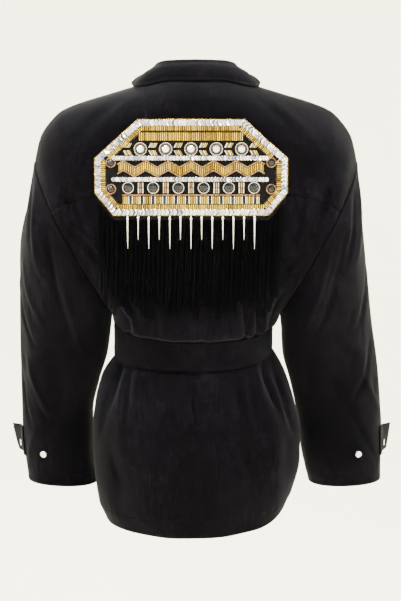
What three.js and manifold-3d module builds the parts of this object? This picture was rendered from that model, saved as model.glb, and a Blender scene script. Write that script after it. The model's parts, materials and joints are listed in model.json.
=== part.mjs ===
// Black denim jacket with a wide belt and a beaded, fringed back, in the form it takes when worn.
// Millimetres, +Z up. +Y is the garment's front and +X is the wearer's right. The origin is where
// the shoulders carry it: centred between them, level with the lower edge of the collar.
import * as THREE from 'three';
import Module from 'manifold-3d';
import { mergeVertices } from 'three/addons/utils/BufferGeometryUtils.js';

const wasm = await Module();
wasm.setup();

// Cloth, seams and the distance between layers that lie on each other
const CLOTH = 2.0;
const BELT_CLOTH = 3.0;
const SEAM_GAP = 0.3;
const LAY_GAP = 0.45;
const ARMHOLE_GAP = SEAM_GAP + 0.1;

const BACK = -1;
const FRONT = 1;
const RIGHT_ANGLE = 90;
const rad = THREE.MathUtils.degToRad;
const { lerp, clamp, smoothstep } = THREE.MathUtils;

// Shoulder and armhole. The armhole is an ellipse seen from the side, and it leans in from the
// shoulder tip to the underarm.
const SHOULDER_X = 257;
const SHOULDER_Z = -118;
const UNDERARM_X = 136;
const ARMHOLE_HEIGHT = 245;
const ARMHOLE_HALF_DEPTH = 95;
const ARMHOLE_SWELL = 9;
const NECK_U = 0.31;
const NECK_BACK_Y = 72;
const NECK_FRONT_FALL = 100;
const NECK_BACK_POWER = 0.66;
const NECK_FRONT_POWER = 0.5;
const CHEST_Z = -170;
const CHEST_BACK = 112;
const CHEST_FRONT = 106;
const YOKE_END_ANGLE = 70;

// Ridge of the shoulder from the neck to the armhole: its height, and how far below it the cloth
// has turned over and hangs straight
const RIDGE = [
  { u: 0.00, z: 24, fall: 75 },
  { u: 0.16, z: 18, fall: 75 },
  { u: 0.31, z: 4, fall: 74 },
  { u: 0.54, z: -14, fall: 79 },
  { u: 0.72, z: -28, fall: 93 },
  { u: 0.83, z: -40, fall: 104 },
  { u: 0.90, z: -57, fall: 111 },
  { u: 0.96, z: -80, fall: 118 },
  { u: 1.00, z: SHOULDER_Z, fall: ARMHOLE_HEIGHT / 2 },
];

// Columns of the body panels, from the middle (0) to the side seam or armhole (1)
const NECK_COLUMNS = [0, 20, 40, 58, 74, 90].map((angle) => NECK_U * Math.sin(rad(angle)));
const SIDE_COLUMNS = [0.38, 0.45, 0.52, 0.59, 0.66, 0.73, 0.8, 0.86, 0.92, 0.965, 1];
const HALF_COLUMNS = [...NECK_COLUMNS, ...SIDE_COLUMNS];
const OVERLAP_U = 0.08;

// Rows of the body, from the shoulder down. Down to the underarm a row is named by the angle
// round the armhole at which it ends.
const YOKE_ANGLES = [0, 9, 18, 27, 36, 45, 54, 62, YOKE_END_ANGLE];
const LOWER_ROWS = [
  { angle: 86, backMid: -205, frontMid: -203, back: 113, front: 107, round: 0.00, bow: 4.5 },
  { angle: 102, backMid: -240, frontMid: -236, back: 115, front: 108, round: 0.06, bow: 4.0 },
  { angle: 118, backMid: -275, frontMid: -269, back: 117, front: 110, round: 0.20, bow: 3.5 },
  { angle: 134, backMid: -308, frontMid: -301, back: 119, front: 111, round: 0.40, bow: 3.0 },
  { angle: 150, backMid: -338, frontMid: -330, back: 120, front: 112, round: 0.62, bow: 2.6 },
  { angle: 165, backMid: -362, frontMid: -352, back: 121, front: 113, round: 0.82, bow: 2.3 },
  { angle: 180, backMid: -382, frontMid: -362, back: 120, front: 110, round: 1.00, bow: 2.0 },
];
const WAIST_ROWS = [
  { side: -373, backMid: -395, frontMid: -374, half: 133.0, centre: -2.0, sideY: 0, back: 115, front: 106 },
  { side: -381, backMid: -401, frontMid: -386, half: 125.5, centre: -4.5, sideY: 0, back: 101, front: 97 },
  { side: -428, backMid: -446, frontMid: -433, half: 125.5, centre: -4.5, sideY: 0, back: 101, front: 97 },
  { side: -438, backMid: -457, frontMid: -444, half: 132.5, centre: -4.5, sideY: -2, back: 109, front: 103 },
  { side: -463, backMid: -483, frontMid: -470, half: 148.0, centre: -4.0, sideY: -7, back: 117, front: 109 },
  { side: -505, backMid: -524, frontMid: -511, half: 161.0, centre: -2.0, sideY: -15, back: 124, front: 113 },
  { side: -552, backMid: -570, frontMid: -557, half: 168.0, centre: 0.5, sideY: -22, back: 127, front: 115 },
  { side: -604, backMid: -621, frontMid: -609, half: 167.0, centre: 2.0, sideY: -22, back: 127, front: 115 },
  { side: -652, backMid: -667, frontMid: -656, half: 160.0, centre: 1.0, sideY: -20, back: 124, front: 113 },
  { side: -684, backMid: -706, frontMid: -694, half: 147.5, centre: 1.5, sideY: -18, back: 119, front: 109 },
];
const LOWEST_SIDE_Z = WAIST_ROWS[WAIST_ROWS.length - 1].side;

// The belt and the hem ride up at the sides: how far each of the rows above rises at the left
// and at the right side
const SIDE_RISES = [
  [6, 0], [8, 0], [-3, 10], [-2, 9], [0, 4],
  [0, 0], [0, 0], [0, 2], [0, 9], [3, 19],
];
const NO_RISE = [0, 0];
const HEM_TILT = 18;
const TILT_START_Z = -520;
const ROUND_POWER = 0.86;
const WAIST_BOW = 2;
const LAST_YOKE_ROW = YOKE_ANGLES.length - 1;
const UNDERARM_ROW = LAST_YOKE_ROW + LOWER_ROWS.length;
const BELT_TOP_ROW = UNDERARM_ROW + 2;
const LAST_ROW = UNDERARM_ROW + WAIST_ROWS.length;

// Largest folds of the body. The angle is round the body from the middle of the back (0) by the
// wearer's right side (90) to the middle of the front (180). Rise is out from the body, and a
// trough has a rise below zero. Lean carries the fold sideways on its way down.
const MM_PER_DEGREE = 2.45;
const BODY_FOLDS = [
  { angle: -73, top: -150, bottom: -235, width: 9, rise: -4.0, lean: -4 },
  { angle: 69, top: -150, bottom: -235, width: 12, rise: 3.5, lean: -6 },
  { angle: 79, top: -165, bottom: -225, width: 9, rise: -3.0, lean: -4 },
  { angle: 34, top: -335, bottom: -404, width: 9, rise: -4.5, lean: 3 },
  { angle: 45, top: -345, bottom: -404, width: 8, rise: -4.0, lean: 4 },
  { angle: -28, top: -340, bottom: -404, width: 10, rise: -3.5, lean: -3 },
  { angle: -48, top: -330, bottom: -404, width: 12, rise: -3.5, lean: -5 },
  { angle: 4, top: -350, bottom: -404, width: 9, rise: -3.0, lean: 0 },
  { angle: 0, top: -440, bottom: -520, width: 9, rise: -4.5, lean: 2 },
  { angle: -20, top: -440, bottom: -530, width: 12, rise: -3.0, lean: -6 },
  { angle: -38, top: -440, bottom: -590, width: 16, rise: 4.5, lean: -10 },
  { angle: -56, top: -436, bottom: -560, width: 12, rise: -4.0, lean: -14 },
  { angle: 20, top: -440, bottom: -540, width: 12, rise: -3.0, lean: 6 },
  { angle: 42, top: -440, bottom: -600, width: 16, rise: 4.5, lean: 12 },
  { angle: 60, top: -436, bottom: -560, width: 12, rise: -5.0, lean: 16 },
  { angle: -12, top: -560, bottom: -800, width: 26, rise: 3.0, lean: -5 },
  { angle: 24, top: -580, bottom: -800, width: 26, rise: -3.5, lean: 6 },
  { angle: 124, top: -437, bottom: -560, width: 13, rise: -4.0, lean: -10 },
  { angle: 142, top: -437, bottom: -600, width: 16, rise: 3.5, lean: -6 },
  { angle: -120, top: -437, bottom: -560, width: 13, rise: -4.5, lean: 10 },
  { angle: -143, top: -437, bottom: -590, width: 16, rise: 3.5, lean: 6 },
  { angle: 140, top: -325, bottom: -395, width: 11, rise: -3.5, lean: 3 },
  { angle: -138, top: -325, bottom: -395, width: 11, rise: -3.5, lean: -3 },
];

// Sleeves. Each row gives the outer and the inner line of the sleeve seen from behind.
const SLEEVE_ROWS = {
  right: [
    { t: 0.00, outerX: 257, outerZ: -118, innerX: 136, innerZ: -363, halfDepth: 95, centreY: 0 },
    { t: 0.12, outerX: 264, outerZ: -175, innerX: 139, innerZ: -388, halfDepth: 93, centreY: 2 },
    { t: 0.30, outerX: 274, outerZ: -262, innerX: 142, innerZ: -430, halfDepth: 85, centreY: 8 },
    { t: 0.50, outerX: 287, outerZ: -368, innerX: 156, innerZ: -482, halfDepth: 74, centreY: 20 },
    { t: 0.70, outerX: 303, outerZ: -470, innerX: 169, innerZ: -540, halfDepth: 65, centreY: 32 },
    { t: 0.85, outerX: 310, outerZ: -560, innerX: 177, innerZ: -600, halfDepth: 59, centreY: 38 },
    { t: 1.00, outerX: 311, outerZ: -649, innerX: 190, innerZ: -655, halfDepth: 55, centreY: 40 },
  ],
  left: [
    { t: 0.00, outerX: 257, outerZ: -118, innerX: 136, innerZ: -363, halfDepth: 95, centreY: 0 },
    { t: 0.12, outerX: 268, outerZ: -175, innerX: 139, innerZ: -388, halfDepth: 93, centreY: 2 },
    { t: 0.30, outerX: 283, outerZ: -262, innerX: 145, innerZ: -430, halfDepth: 85, centreY: 8 },
    { t: 0.50, outerX: 289, outerZ: -368, innerX: 161, innerZ: -482, halfDepth: 74, centreY: 20 },
    { t: 0.70, outerX: 291, outerZ: -470, innerX: 173, innerZ: -540, halfDepth: 65, centreY: 32 },
    { t: 0.85, outerX: 291, outerZ: -560, innerX: 173, innerZ: -600, halfDepth: 59, centreY: 38 },
    { t: 1.00, outerX: 283, outerZ: -649, innerX: 166, innerZ: -655, halfDepth: 55, centreY: 40 },
  ],
};
const SLEEVE_STATIONS = [0, 0.06, 0.13, 0.21, 0.3, 0.39, 0.48, 0.57, 0.66, 0.75, 0.84, 0.92, 1];
const SLEEVE_ROUND_POWER = 0.9;
const SLEEVE_FADE = { round: 0.4, swell: 0.35 };
const SLEEVE_MM_PER_DEGREE = 1.3;

// Largest folds of a sleeve. The angle is round it from its outer line (0), back below zero and
// front above it, and start and end are its row values t.
const SLEEVE_FOLDS = [
  { angle: -52, start: 0.00, end: 0.42, width: 18, rise: 3.0 },
  { angle: -84, start: 0.02, end: 0.36, width: 16, rise: -4.0 },
  { angle: -112, start: 0.04, end: 0.30, width: 14, rise: 3.0 },
  { angle: -34, start: 0.45, end: 0.80, width: 18, rise: -3.0 },
  { angle: -96, start: 0.48, end: 0.74, width: 16, rise: -3.0 },
  { angle: 96, start: 0.38, end: 0.66, width: 16, rise: -4.0 },
  { angle: 60, start: 0.02, end: 0.40, width: 18, rise: -3.0 },
];

// Collar, from the middle of the back (0) to the middle of the front (180). The fold is the line
// where the leaf turns over, and the edge lies on the shoulder at a width and a turn over the ridge.
const COLLAR_STATIONS = [
  { angle: 0, foldX: 0, foldY: -65, foldZ: 34, edgeX: 0, turn: -49 },
  { angle: 40, foldX: 42, foldY: -52, foldZ: 34, edgeX: 60, turn: -38 },
  { angle: 75, foldX: 62, foldY: -22, foldZ: 31, edgeX: 94, turn: -26 },
  { angle: 100, foldX: 64, foldY: 10, foldZ: 20, edgeX: 103, turn: 4 },
  { angle: 130, foldX: 57, foldY: 51, foldZ: -4, edgeX: 98, turn: 52 },
  { angle: 158, foldX: 34, foldY: 80, foldZ: -26, edgeX: 84, turn: 88 },
  { angle: 180, foldX: 3, foldY: 93, foldZ: -38, edgeX: 62, turn: 112 },
];
const COLLAR_FOLD_RADIUS = 4.2;
const COLLAR_BULGE = 3;
const COLLAR_LEAF_SHARES = [0.35, 0.7];

// Front overlap, buttons and belt lap
const FRONT_LAP_LIFT = CLOTH + 2 * LAY_GAP;
const LAP_START_U = 0.30;
const LAP_END_U = 0.11;
const FRONT_BUTTON_HEIGHTS = [-105, -180, -255, -330, -490, -565];
const FRONT_BUTTON = { radius: 7, height: 3 };
const CUFF_BUTTON = { radius: 5.3, height: 2.6 };
const BELT_BUTTON_OFFSETS = [-14, 14];
const BELT_LAP_LIFT = BELT_CLOTH + LAY_GAP;
const BELT_LAP_U = { start: -0.42, full: -0.24 };
const BELT_EDGES = [0.02, 0.98];
const BUTTON_SIDES = 10;
const BUTTON_REST = 0.6;

// Cuff tab, placed on the sleeve by angle and row value
const TAB = { from: -28, free: 20, top: 0.84, bottom: 0.925, thickness: 2.2 };
const TAB_FLARE = { rise: 24, from: -6, over: 28, footShare: 0.68 };
const TAB_COLUMNS = 10;
const TAB_ROWS = [0, 0.33, 0.67, 1];
const TAB_SLANT = 0.18;
const CUFF_BUTTON_T = 0.895;
const CUFF_BUTTONS = [{ angle: -74, onTab: false }, { angle: -11, onTab: true }];

// Applique: a long octagon on the back, thick, with large beads and a row of needles
const PLAQUE_X = -7;
const PLAQUE_LIFT = LAY_GAP;
const PLAQUE_THICKNESS = 2;
const PLAQUE_TOP = { z: -60, half: 80 };
const PLAQUE_SIDE = { top: -118, bottom: -170, half: 146 };
const PLAQUE_FOOT = { z: -204, half: 118 };
const PLAQUE_ROWS = { first: 2, last: LAST_YOKE_ROW + 2, widest: 0.67 };
const PLAQUE_DEPTHS = { near: -60, far: -150 };
const BEAD_SIDES = 8;
const CRYSTALS = { count: 5, pitch: 38, z: -104, radius: 6, height: 4.5 };
const STUDS = { count: 6, pitch: 38, z: -162, radius: 7, height: 4.5 };
const CORNER_BEADS = [
  { x: 121, z: -124, radius: 5.5, height: 4 },
  { x: 121, z: -164, radius: 5.5, height: 4 },
];
const NEEDLE_COUNT = 13;
const NEEDLE_PITCH = 16;
const NEEDLE_LENGTHS = [50, 36];
const NEEDLE_WIDTH = 3;
const NEEDLE_TIP = 1;
const NEEDLE_LIFT = 6.6;

// Fringe: one narrow strip along the applique's lower edge with cords hanging from it
const STRIP_HEIGHT = 6.5;
const STRIP_THICKNESS = 2;
const STRIP_HALF = 144;
const STRIP_STEPS = { foot: 22, corner: 3 };
const CORD_COUNT = 80;
const CORD_PITCH = 3.5;
const CORD_SIDES = 3;
const CORD_LENGTH = { least: 124, most: 154 };
const CORD_DRIFT = -4;
const CORD_STATIONS = [
  { down: 0.00, near: 1.45, far: 1.45, radius: 0.75 },
  { down: 0.16, near: 2.10, far: 4.50, radius: 1.15 },
  { down: 0.55, near: 2.40, far: 5.00, radius: 1.15 },
  { down: 1.00, near: 2.70, far: 5.10, radius: 1.10 },
];

const materials = {
  denim: { color: 0x121214, roughness: 0.92, metalness: 0 },
  silver: { color: 0xc4c6c8, roughness: 0.3, metalness: 0.9 },
  applique: { color: 0x3a3836, roughness: 0.45, metalness: 0.35 },
  cord: { color: 0x0c0c0e, roughness: 0.8, metalness: 0 },
};

// A column of a table read between its rows on a smooth curve that never passes a row's value
function secant(table, keyName, valueName, index) {
  const from = table[index];
  const to = table[index + 1];
  return (to[valueName] - from[valueName]) / (to[keyName] - from[keyName]);
}

function slopeAt(table, keyName, valueName, index) {
  if (index === 0) return secant(table, keyName, valueName, 0);
  if (index === table.length - 1) return secant(table, keyName, valueName, index - 1);
  const before = secant(table, keyName, valueName, index - 1);
  const after = secant(table, keyName, valueName, index);
  return before * after <= 0 ? 0 : (2 * before * after) / (before + after);
}

function readTable(table, keyName, key, valueName) {
  let index = 0;
  while (index < table.length - 2 && key > table[index + 1][keyName]) index += 1;
  const from = table[index];
  const to = table[index + 1];
  const span = to[keyName] - from[keyName];
  const t = clamp((key - from[keyName]) / span, 0, 1);
  const startSlope = slopeAt(table, keyName, valueName, index) * span;
  const endSlope = slopeAt(table, keyName, valueName, index + 1) * span;
  const rise = t * t * (3 - 2 * t);
  return lerp(from[valueName], to[valueName], rise)
    + startSlope * t * (1 - t) * (1 - t) - endSlope * t * t * (1 - t);
}

// Body surface
function armholeEdge(angle) {
  const c = Math.cos(rad(angle));
  const s = Math.sin(rad(angle));
  const down = (1 - c) / 2;
  return {
    x: lerp(SHOULDER_X, UNDERARM_X, down) + ARMHOLE_SWELL * s * s * (1 - down),
    y: ARMHOLE_HALF_DEPTH * s,
    z: SHOULDER_Z - ARMHOLE_HEIGHT * down,
  };
}

function foldRise(folds, angle, z) {
  let rise = 0;
  for (const fold of folds) {
    const down = (fold.top - z) / (fold.top - fold.bottom);
    if (down <= 0 || down >= 1) continue;
    const fade = Math.sin(Math.PI * down) ** 0.7;
    const across = (angle - fold.angle) * MM_PER_DEGREE - fold.lean * down;
    rise += fold.rise * fade * Math.exp(-((across / fold.width) ** 2));
  }
  return rise;
}

function upperPoint(side, u, angle) {
  const a = Math.abs(u);
  const ridge = readTable(RIDGE, 'u', a, 'z');
  const fall = readTable(RIDGE, 'u', a, 'fall');
  const middle = side === BACK ? CHEST_BACK : CHEST_FRONT;
  const depth = lerp(middle, ARMHOLE_HALF_DEPTH, a * a);
  const chest = CHEST_Z + (armholeEdge(YOKE_END_ANGLE).z - CHEST_Z) * a ** 5;
  const power = side === BACK ? NECK_BACK_POWER : NECK_FRONT_POWER;
  const neck = Math.max(0, 1 - (a / NECK_U) ** 2) ** power;
  const neckFall = side === BACK
    ? Math.asin((NECK_BACK_Y * neck) / depth)
    : rad(NECK_FRONT_FALL) * neck;
  const bottom = turnAt(ridge - chest, fall);
  const turn = lerp(neckFall, bottom, angle / YOKE_END_ANGLE);
  const x = Math.sign(u) * a * armholeEdge(angle).x;
  return placeByTurn(side, x, turn, depth, ridge, fall);
}

function turnAt(drop, fall) {
  return drop < fall ? Math.acos(1 - drop / fall) : Math.PI / 2 + (drop - fall) / fall;
}

function placeByTurn(side, x, turn, depth, ridge, fall) {
  const over = Math.max(0, turn - Math.PI / 2);
  const y = side * depth * Math.sin(Math.min(turn, Math.PI / 2));
  const z = ridge - fall * (1 - Math.cos(Math.min(turn, Math.PI / 2))) - fall * over;
  return new THREE.Vector3(x, y, z);
}

function rowData(row) {
  if (row <= UNDERARM_ROW) {
    const data = LOWER_ROWS[row - LAST_YOKE_ROW - 1];
    const edge = armholeEdge(data.angle);
    return { ...data, side: edge.z, half: edge.x, centre: 0, sideY: 0, edgeY: edge.y, rises: NO_RISE };
  }
  const below = row - UNDERARM_ROW - 1;
  return { ...WAIST_ROWS[below], round: 1, bow: WAIST_BOW, edgeY: 0, rises: SIDE_RISES[below] };
}

function lowerPoint(side, u, row) {
  const data = rowData(row);
  const a = Math.min(1, Math.abs(u));
  const quarter = (Math.PI / 2) * a;
  const across = lerp(a, Math.sin(quarter) ** ROUND_POWER, data.round);
  const out = lerp(1 - a * a, Math.max(0, Math.cos(quarter)) ** ROUND_POWER, data.round);
  const middleZ = side === BACK ? data.backMid : data.frontMid;
  const depth = side === BACK ? data.back : data.front;
  const tilt = HEM_TILT * smoothstep(-data.side, -TILT_START_Z, -LOWEST_SIDE_Z) * u;
  const sideZ = data.side + tilt + data.rises[u < 0 ? 0 : 1];
  const point = new THREE.Vector3();
  point.x = data.centre + Math.sign(u) * across * data.half;
  point.y = side * (data.edgeY + (depth - data.edgeY) * out) + data.sideY * (1 - out);
  point.z = middleZ + (sideZ - middleZ) * a ** data.bow;
  return point;
}

function wholeRowPoint(side, u, row) {
  const point = row <= LAST_YOKE_ROW
    ? upperPoint(side, u, YOKE_ANGLES[row])
    : lowerPoint(side, u, row);
  const round = row <= LAST_YOKE_ROW ? 0 : rowData(row).round;
  const outward = round * Math.sin((Math.PI / 2) * clamp(u, -1, 1));
  const around = side === BACK ? RIGHT_ANGLE * u : 2 * RIGHT_ANGLE - RIGHT_ANGLE * u;
  const wrapped = around > 2 * RIGHT_ANGLE ? around - 4 * RIGHT_ANGLE : around;
  const underBelt = row === BELT_TOP_ROW || row === BELT_TOP_ROW + 1;
  const rise = underBelt ? 0 : foldRise(BODY_FOLDS, wrapped, point.z);
  point.x += rise * outward;
  point.y += rise * side * Math.sqrt(1 - outward * outward);
  return point;
}

function bodyPoint(side, u, row) {
  const from = Math.min(Math.floor(row), LAST_ROW - 1);
  return wholeRowPoint(side, u, from).lerp(wholeRowPoint(side, u, from + 1), row - from);
}

// Place on the back at a given width and height, lifted off the cloth
const SEARCH_STEPS = 14;
const COLUMN_STEP = 0.02;
const ROW_STEP = 0.1;

function rowAtHeight(side, u, z, lastRow) {
  let low = 0;
  let high = lastRow;
  for (let i = 0; i < SEARCH_STEPS; i += 1) {
    const row = (low + high) / 2;
    if (bodyPoint(side, u, row).z > z) low = row;
    else high = row;
  }
  return low;
}

function onBack(x, z, lift) {
  let u = x / SHOULDER_X;
  let row = 0;
  for (let pass = 0; pass < 2; pass += 1) {
    row = rowAtHeight(BACK, u, z, UNDERARM_ROW);
    for (let i = 0; i < SEARCH_STEPS; i += 1) u += (x - bodyPoint(BACK, u, row).x) / SHOULDER_X;
  }
  const place = bodyPoint(BACK, u, row);
  const across = bodyPoint(BACK, u + COLUMN_STEP, row).sub(bodyPoint(BACK, u - COLUMN_STEP, row));
  const above = bodyPoint(BACK, u, Math.max(0, row - ROW_STEP));
  const down = bodyPoint(BACK, u, row + ROW_STEP).sub(above);
  const normal = across.cross(down).normalize().negate();
  return { p: place.addScaledVector(normal, lift), n: normal };
}

// Grids and walls. A grid is a list of rows, and each place has its point p and outward normal n.
function gridOf(points, outwardSign, closed = false) {
  const lastRow = points.length - 1;
  return points.map((row, j) => row.map((p, i) => {
    const count = row.length;
    const next = closed ? row[(i + 1) % count] : row[Math.min(i + 1, count - 1)];
    const previous = closed ? row[(i + count - 1) % count] : row[Math.max(i - 1, 0)];
    const below = points[Math.min(j + 1, lastRow)][i];
    const above = points[Math.max(j - 1, 0)][i];
    const across = next.clone().sub(previous);
    const down = below.clone().sub(above);
    return { p: p.clone(), n: across.cross(down).normalize().multiplyScalar(outwardSign) };
  }));
}

function moveOut(grid, distance) {
  for (const place of grid.flat()) place.p.addScaledVector(place.n, distance);
  return grid;
}

const SAME_PLACE = 0.05;
const SAME_SIDE = 0.2;

function shareSeamNormals(grids) {
  const edges = grids.flatMap(edgePlaces);
  const shared = edges.map((place) => {
    const sum = new THREE.Vector3();
    for (const other of edges) {
      if (other.p.distanceTo(place.p) < SAME_PLACE && other.n.dot(place.n) > SAME_SIDE) sum.add(other.n);
    }
    return sum.normalize();
  });
  edges.forEach((place, index) => place.n.copy(shared[index]));
}

function edgePlaces(grid) {
  const sides = grid.slice(1, -1).flatMap((row) => [row[0], row[row.length - 1]]);
  return [...grid[0], ...grid[grid.length - 1], ...sides];
}

function pullBack(edge, inner, distance) {
  edge.forEach((place, index) => {
    const inward = inner[index].p.clone().sub(place.p).normalize();
    place.p.addScaledVector(inward, distance);
  });
}

const column = (grid, index) => grid.map((row) => row.at(index));

function wallGeometry(grid, thickness, closed = false) {
  const rows = grid.length;
  const count = grid[0].length;
  const positions = [];
  const outer = grid.flat().map((place) => place.p);
  const inner = grid.flat().map((place) => place.p.clone().addScaledVector(place.n, -thickness));
  for (const point of [...outer, ...inner]) positions.push(point.x, point.y, point.z);
  const under = rows * count;
  const at = (j, i) => j * count + (i % count);
  const index = [];
  const quad = (a, b, c, d) => index.push(a, b, c, a, c, d);
  const spans = closed ? count : count - 1;
  for (let j = 0; j < rows - 1; j += 1) {
    for (let i = 0; i < spans; i += 1) {
      quad(at(j, i), at(j + 1, i), at(j + 1, i + 1), at(j, i + 1));
      quad(under + at(j, i), under + at(j, i + 1), under + at(j + 1, i + 1), under + at(j + 1, i));
    }
  }
  for (let i = 0; i < spans; i += 1) {
    quad(at(0, i), at(0, i + 1), under + at(0, i + 1), under + at(0, i));
    const j = rows - 1;
    quad(at(j, i + 1), at(j, i), under + at(j, i), under + at(j, i + 1));
  }
  if (!closed) {
    for (let j = 0; j < rows - 1; j += 1) {
      quad(at(j + 1, 0), at(j, 0), under + at(j, 0), under + at(j + 1, 0));
      const i = count - 1;
      quad(at(j, i), at(j + 1, i), under + at(j + 1, i), under + at(j, i));
    }
  }
  return facingOut(positions, index);
}

function facingOut(positions, index) {
  const geometry = new THREE.BufferGeometry();
  geometry.setAttribute('position', new THREE.Float32BufferAttribute(positions, 3));
  if (signedVolume(positions, index) < 0) index.reverse();
  geometry.setIndex(index);
  return geometry;
}

function signedVolume(positions, index) {
  const corner = (k) => new THREE.Vector3().fromArray(positions, 3 * index[k]);
  let volume = 0;
  for (let k = 0; k < index.length; k += 3) {
    volume += corner(k).dot(corner(k + 1).cross(corner(k + 2))) / 6;
  }
  return volume;
}

// Body panels
function panelGrid(side, columns, firstRow, lastRow, liftAt = () => 0) {
  const points = [];
  for (let row = firstRow; row <= lastRow; row += 1) {
    points.push(columns.map((u) => {
      const point = bodyPoint(side, u, row);
      point.y += liftAt(u);
      return point;
    }));
  }
  return gridOf(points, side);
}

const WHOLE_COLUMNS = [...HALF_COLUMNS.slice(1).reverse().map((u) => -u), ...HALF_COLUMNS];
const RIGHT_COLUMNS = [-OVERLAP_U, ...HALF_COLUMNS];
const LEFT_COLUMNS = RIGHT_COLUMNS.map((u) => -u).reverse();
const lapLift = (u) => FRONT_LAP_LIFT * (1 - smoothstep(u, LAP_END_U, LAP_START_U));

const yokeGrid = panelGrid(BACK, WHOLE_COLUMNS, 0, LAST_YOKE_ROW);
const backGrid = panelGrid(BACK, WHOLE_COLUMNS, LAST_YOKE_ROW, LAST_ROW);
const rightGrid = panelGrid(FRONT, RIGHT_COLUMNS, 0, LAST_ROW, lapLift);
const leftGrid = panelGrid(FRONT, LEFT_COLUMNS, 0, LAST_ROW);

// Sleeves: tubes whose first ring is the armhole
const HALF_ARMHOLE = [...YOKE_ANGLES, ...LOWER_ROWS.map((row) => row.angle)];
const ARMHOLE_RING = [...HALF_ARMHOLE, ...HALF_ARMHOLE.slice(1, -1).reverse().map((angle) => -angle)];
const ARMHOLE_OUTWARD = new THREE.Vector3(ARMHOLE_HEIGHT, 0, UNDERARM_X - SHOULDER_X).normalize();

const keepSign = (value, power) => Math.sign(value) * Math.abs(value) ** power;

function sleevePoint(name, angle, t) {
  const read = (valueName) => readTable(SLEEVE_ROWS[name], 't', t, valueName);
  const power = lerp(1, SLEEVE_ROUND_POWER, smoothstep(t, 0, SLEEVE_FADE.round));
  const c = Math.cos(rad(angle));
  const s = Math.sin(rad(angle));
  const outward = keepSign(c, power);
  const swell = ARMHOLE_SWELL * s * s * ((1 + c) / 2) * (1 - smoothstep(t, 0, SLEEVE_FADE.swell));
  const rise = sleeveFoldRise(angle, t);
  const x = lerp(read('innerX'), read('outerX'), (1 + outward) / 2) + swell + rise * c;
  const y = read('centreY') + read('halfDepth') * keepSign(s, power) + rise * s;
  const z = lerp(read('innerZ'), read('outerZ'), (1 + outward) / 2);
  return new THREE.Vector3(name === 'left' ? -x : x, y, z);
}

function sleeveFoldRise(angle, t) {
  let rise = 0;
  for (const fold of SLEEVE_FOLDS) {
    const along = (t - fold.start) / (fold.end - fold.start);
    if (along <= 0 || along >= 1) continue;
    const across = (angle - fold.angle) * SLEEVE_MM_PER_DEGREE;
    rise += fold.rise * Math.sin(Math.PI * along) * Math.exp(-((across / fold.width) ** 2));
  }
  return rise;
}

function sleeveGrid(name) {
  const points = SLEEVE_STATIONS.map((t) => ARMHOLE_RING.map((angle) => sleevePoint(name, angle, t)));
  return gridOf(points, name === 'left' ? 1 : -1, true);
}

const sleeveGrids = { right: sleeveGrid('right'), left: sleeveGrid('left') };

shareSeamNormals([yokeGrid, backGrid, rightGrid, leftGrid, sleeveGrids.right, sleeveGrids.left]);

// Seams: each edge stands back half a seam gap, and each sleeve stands off its armhole
function openSeams() {
  const half = SEAM_GAP / 2;
  const neckEnd = HALF_COLUMNS.indexOf(NECK_COLUMNS.at(-1));
  const middle = HALF_COLUMNS.length - 1;
  const leftShoulder = middle - neckEnd + 1;
  pullBack(yokeGrid[0].slice(0, leftShoulder), yokeGrid[1].slice(0, leftShoulder), half);
  pullBack(yokeGrid[0].slice(middle + neckEnd), yokeGrid[1].slice(middle + neckEnd), half);
  pullBack(yokeGrid.at(-1), yokeGrid.at(-2), half);
  pullBack(backGrid[0], backGrid[1], half);
  pullBack(rightGrid[0].slice(neckEnd + 1), rightGrid[1].slice(neckEnd + 1), half);
  const leftNeck = leftGrid[0].length - neckEnd - 1;
  pullBack(leftGrid[0].slice(0, leftNeck), leftGrid[1].slice(0, leftNeck), half);
  const belowArm = (grid, index, firstRow) => column(grid, index).slice(UNDERARM_ROW - firstRow);
  pullBack(belowArm(backGrid, 0, LAST_YOKE_ROW), belowArm(backGrid, 1, LAST_YOKE_ROW), half);
  pullBack(belowArm(backGrid, -1, LAST_YOKE_ROW), belowArm(backGrid, -2, LAST_YOKE_ROW), half);
  pullBack(belowArm(rightGrid, -1, 0), belowArm(rightGrid, -2, 0), half);
  pullBack(belowArm(leftGrid, 0, 0), belowArm(leftGrid, 1, 0), half);
  for (const [name, grid] of Object.entries(sleeveGrids)) {
    const away = ARMHOLE_OUTWARD.clone();
    if (name === 'left') away.x *= -1;
    for (const place of grid[0]) place.p.addScaledVector(away, ARMHOLE_GAP);
  }
}
openSeams();

const LEAST_REACH = 0.3;

// Moves a point off the upper body to at least the given distance, along its turn over the shoulder
function clearOfShoulder(point, distance) {
  const u = Math.min(1, Math.abs(point.x) / SHOULDER_X);
  const ridge = readTable(RIDGE, 'u', u, 'z');
  const fall = readTable(RIDGE, 'u', u, 'fall');
  const depth = lerp(point.y < 0 ? CHEST_BACK : CHEST_FRONT, ARMHOLE_HALF_DEPTH, u * u) + distance;
  const base = ridge - fall;
  const up = Math.max(0, (point.z - base) / (fall + distance));
  const reach = Math.hypot(point.y / depth, up);
  if (reach >= 1) return point;
  const scale = 1 / Math.max(reach, LEAST_REACH);
  point.y *= scale;
  if (up > 0) point.z = base + (point.z - base) * scale;
  return point;
}

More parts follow.
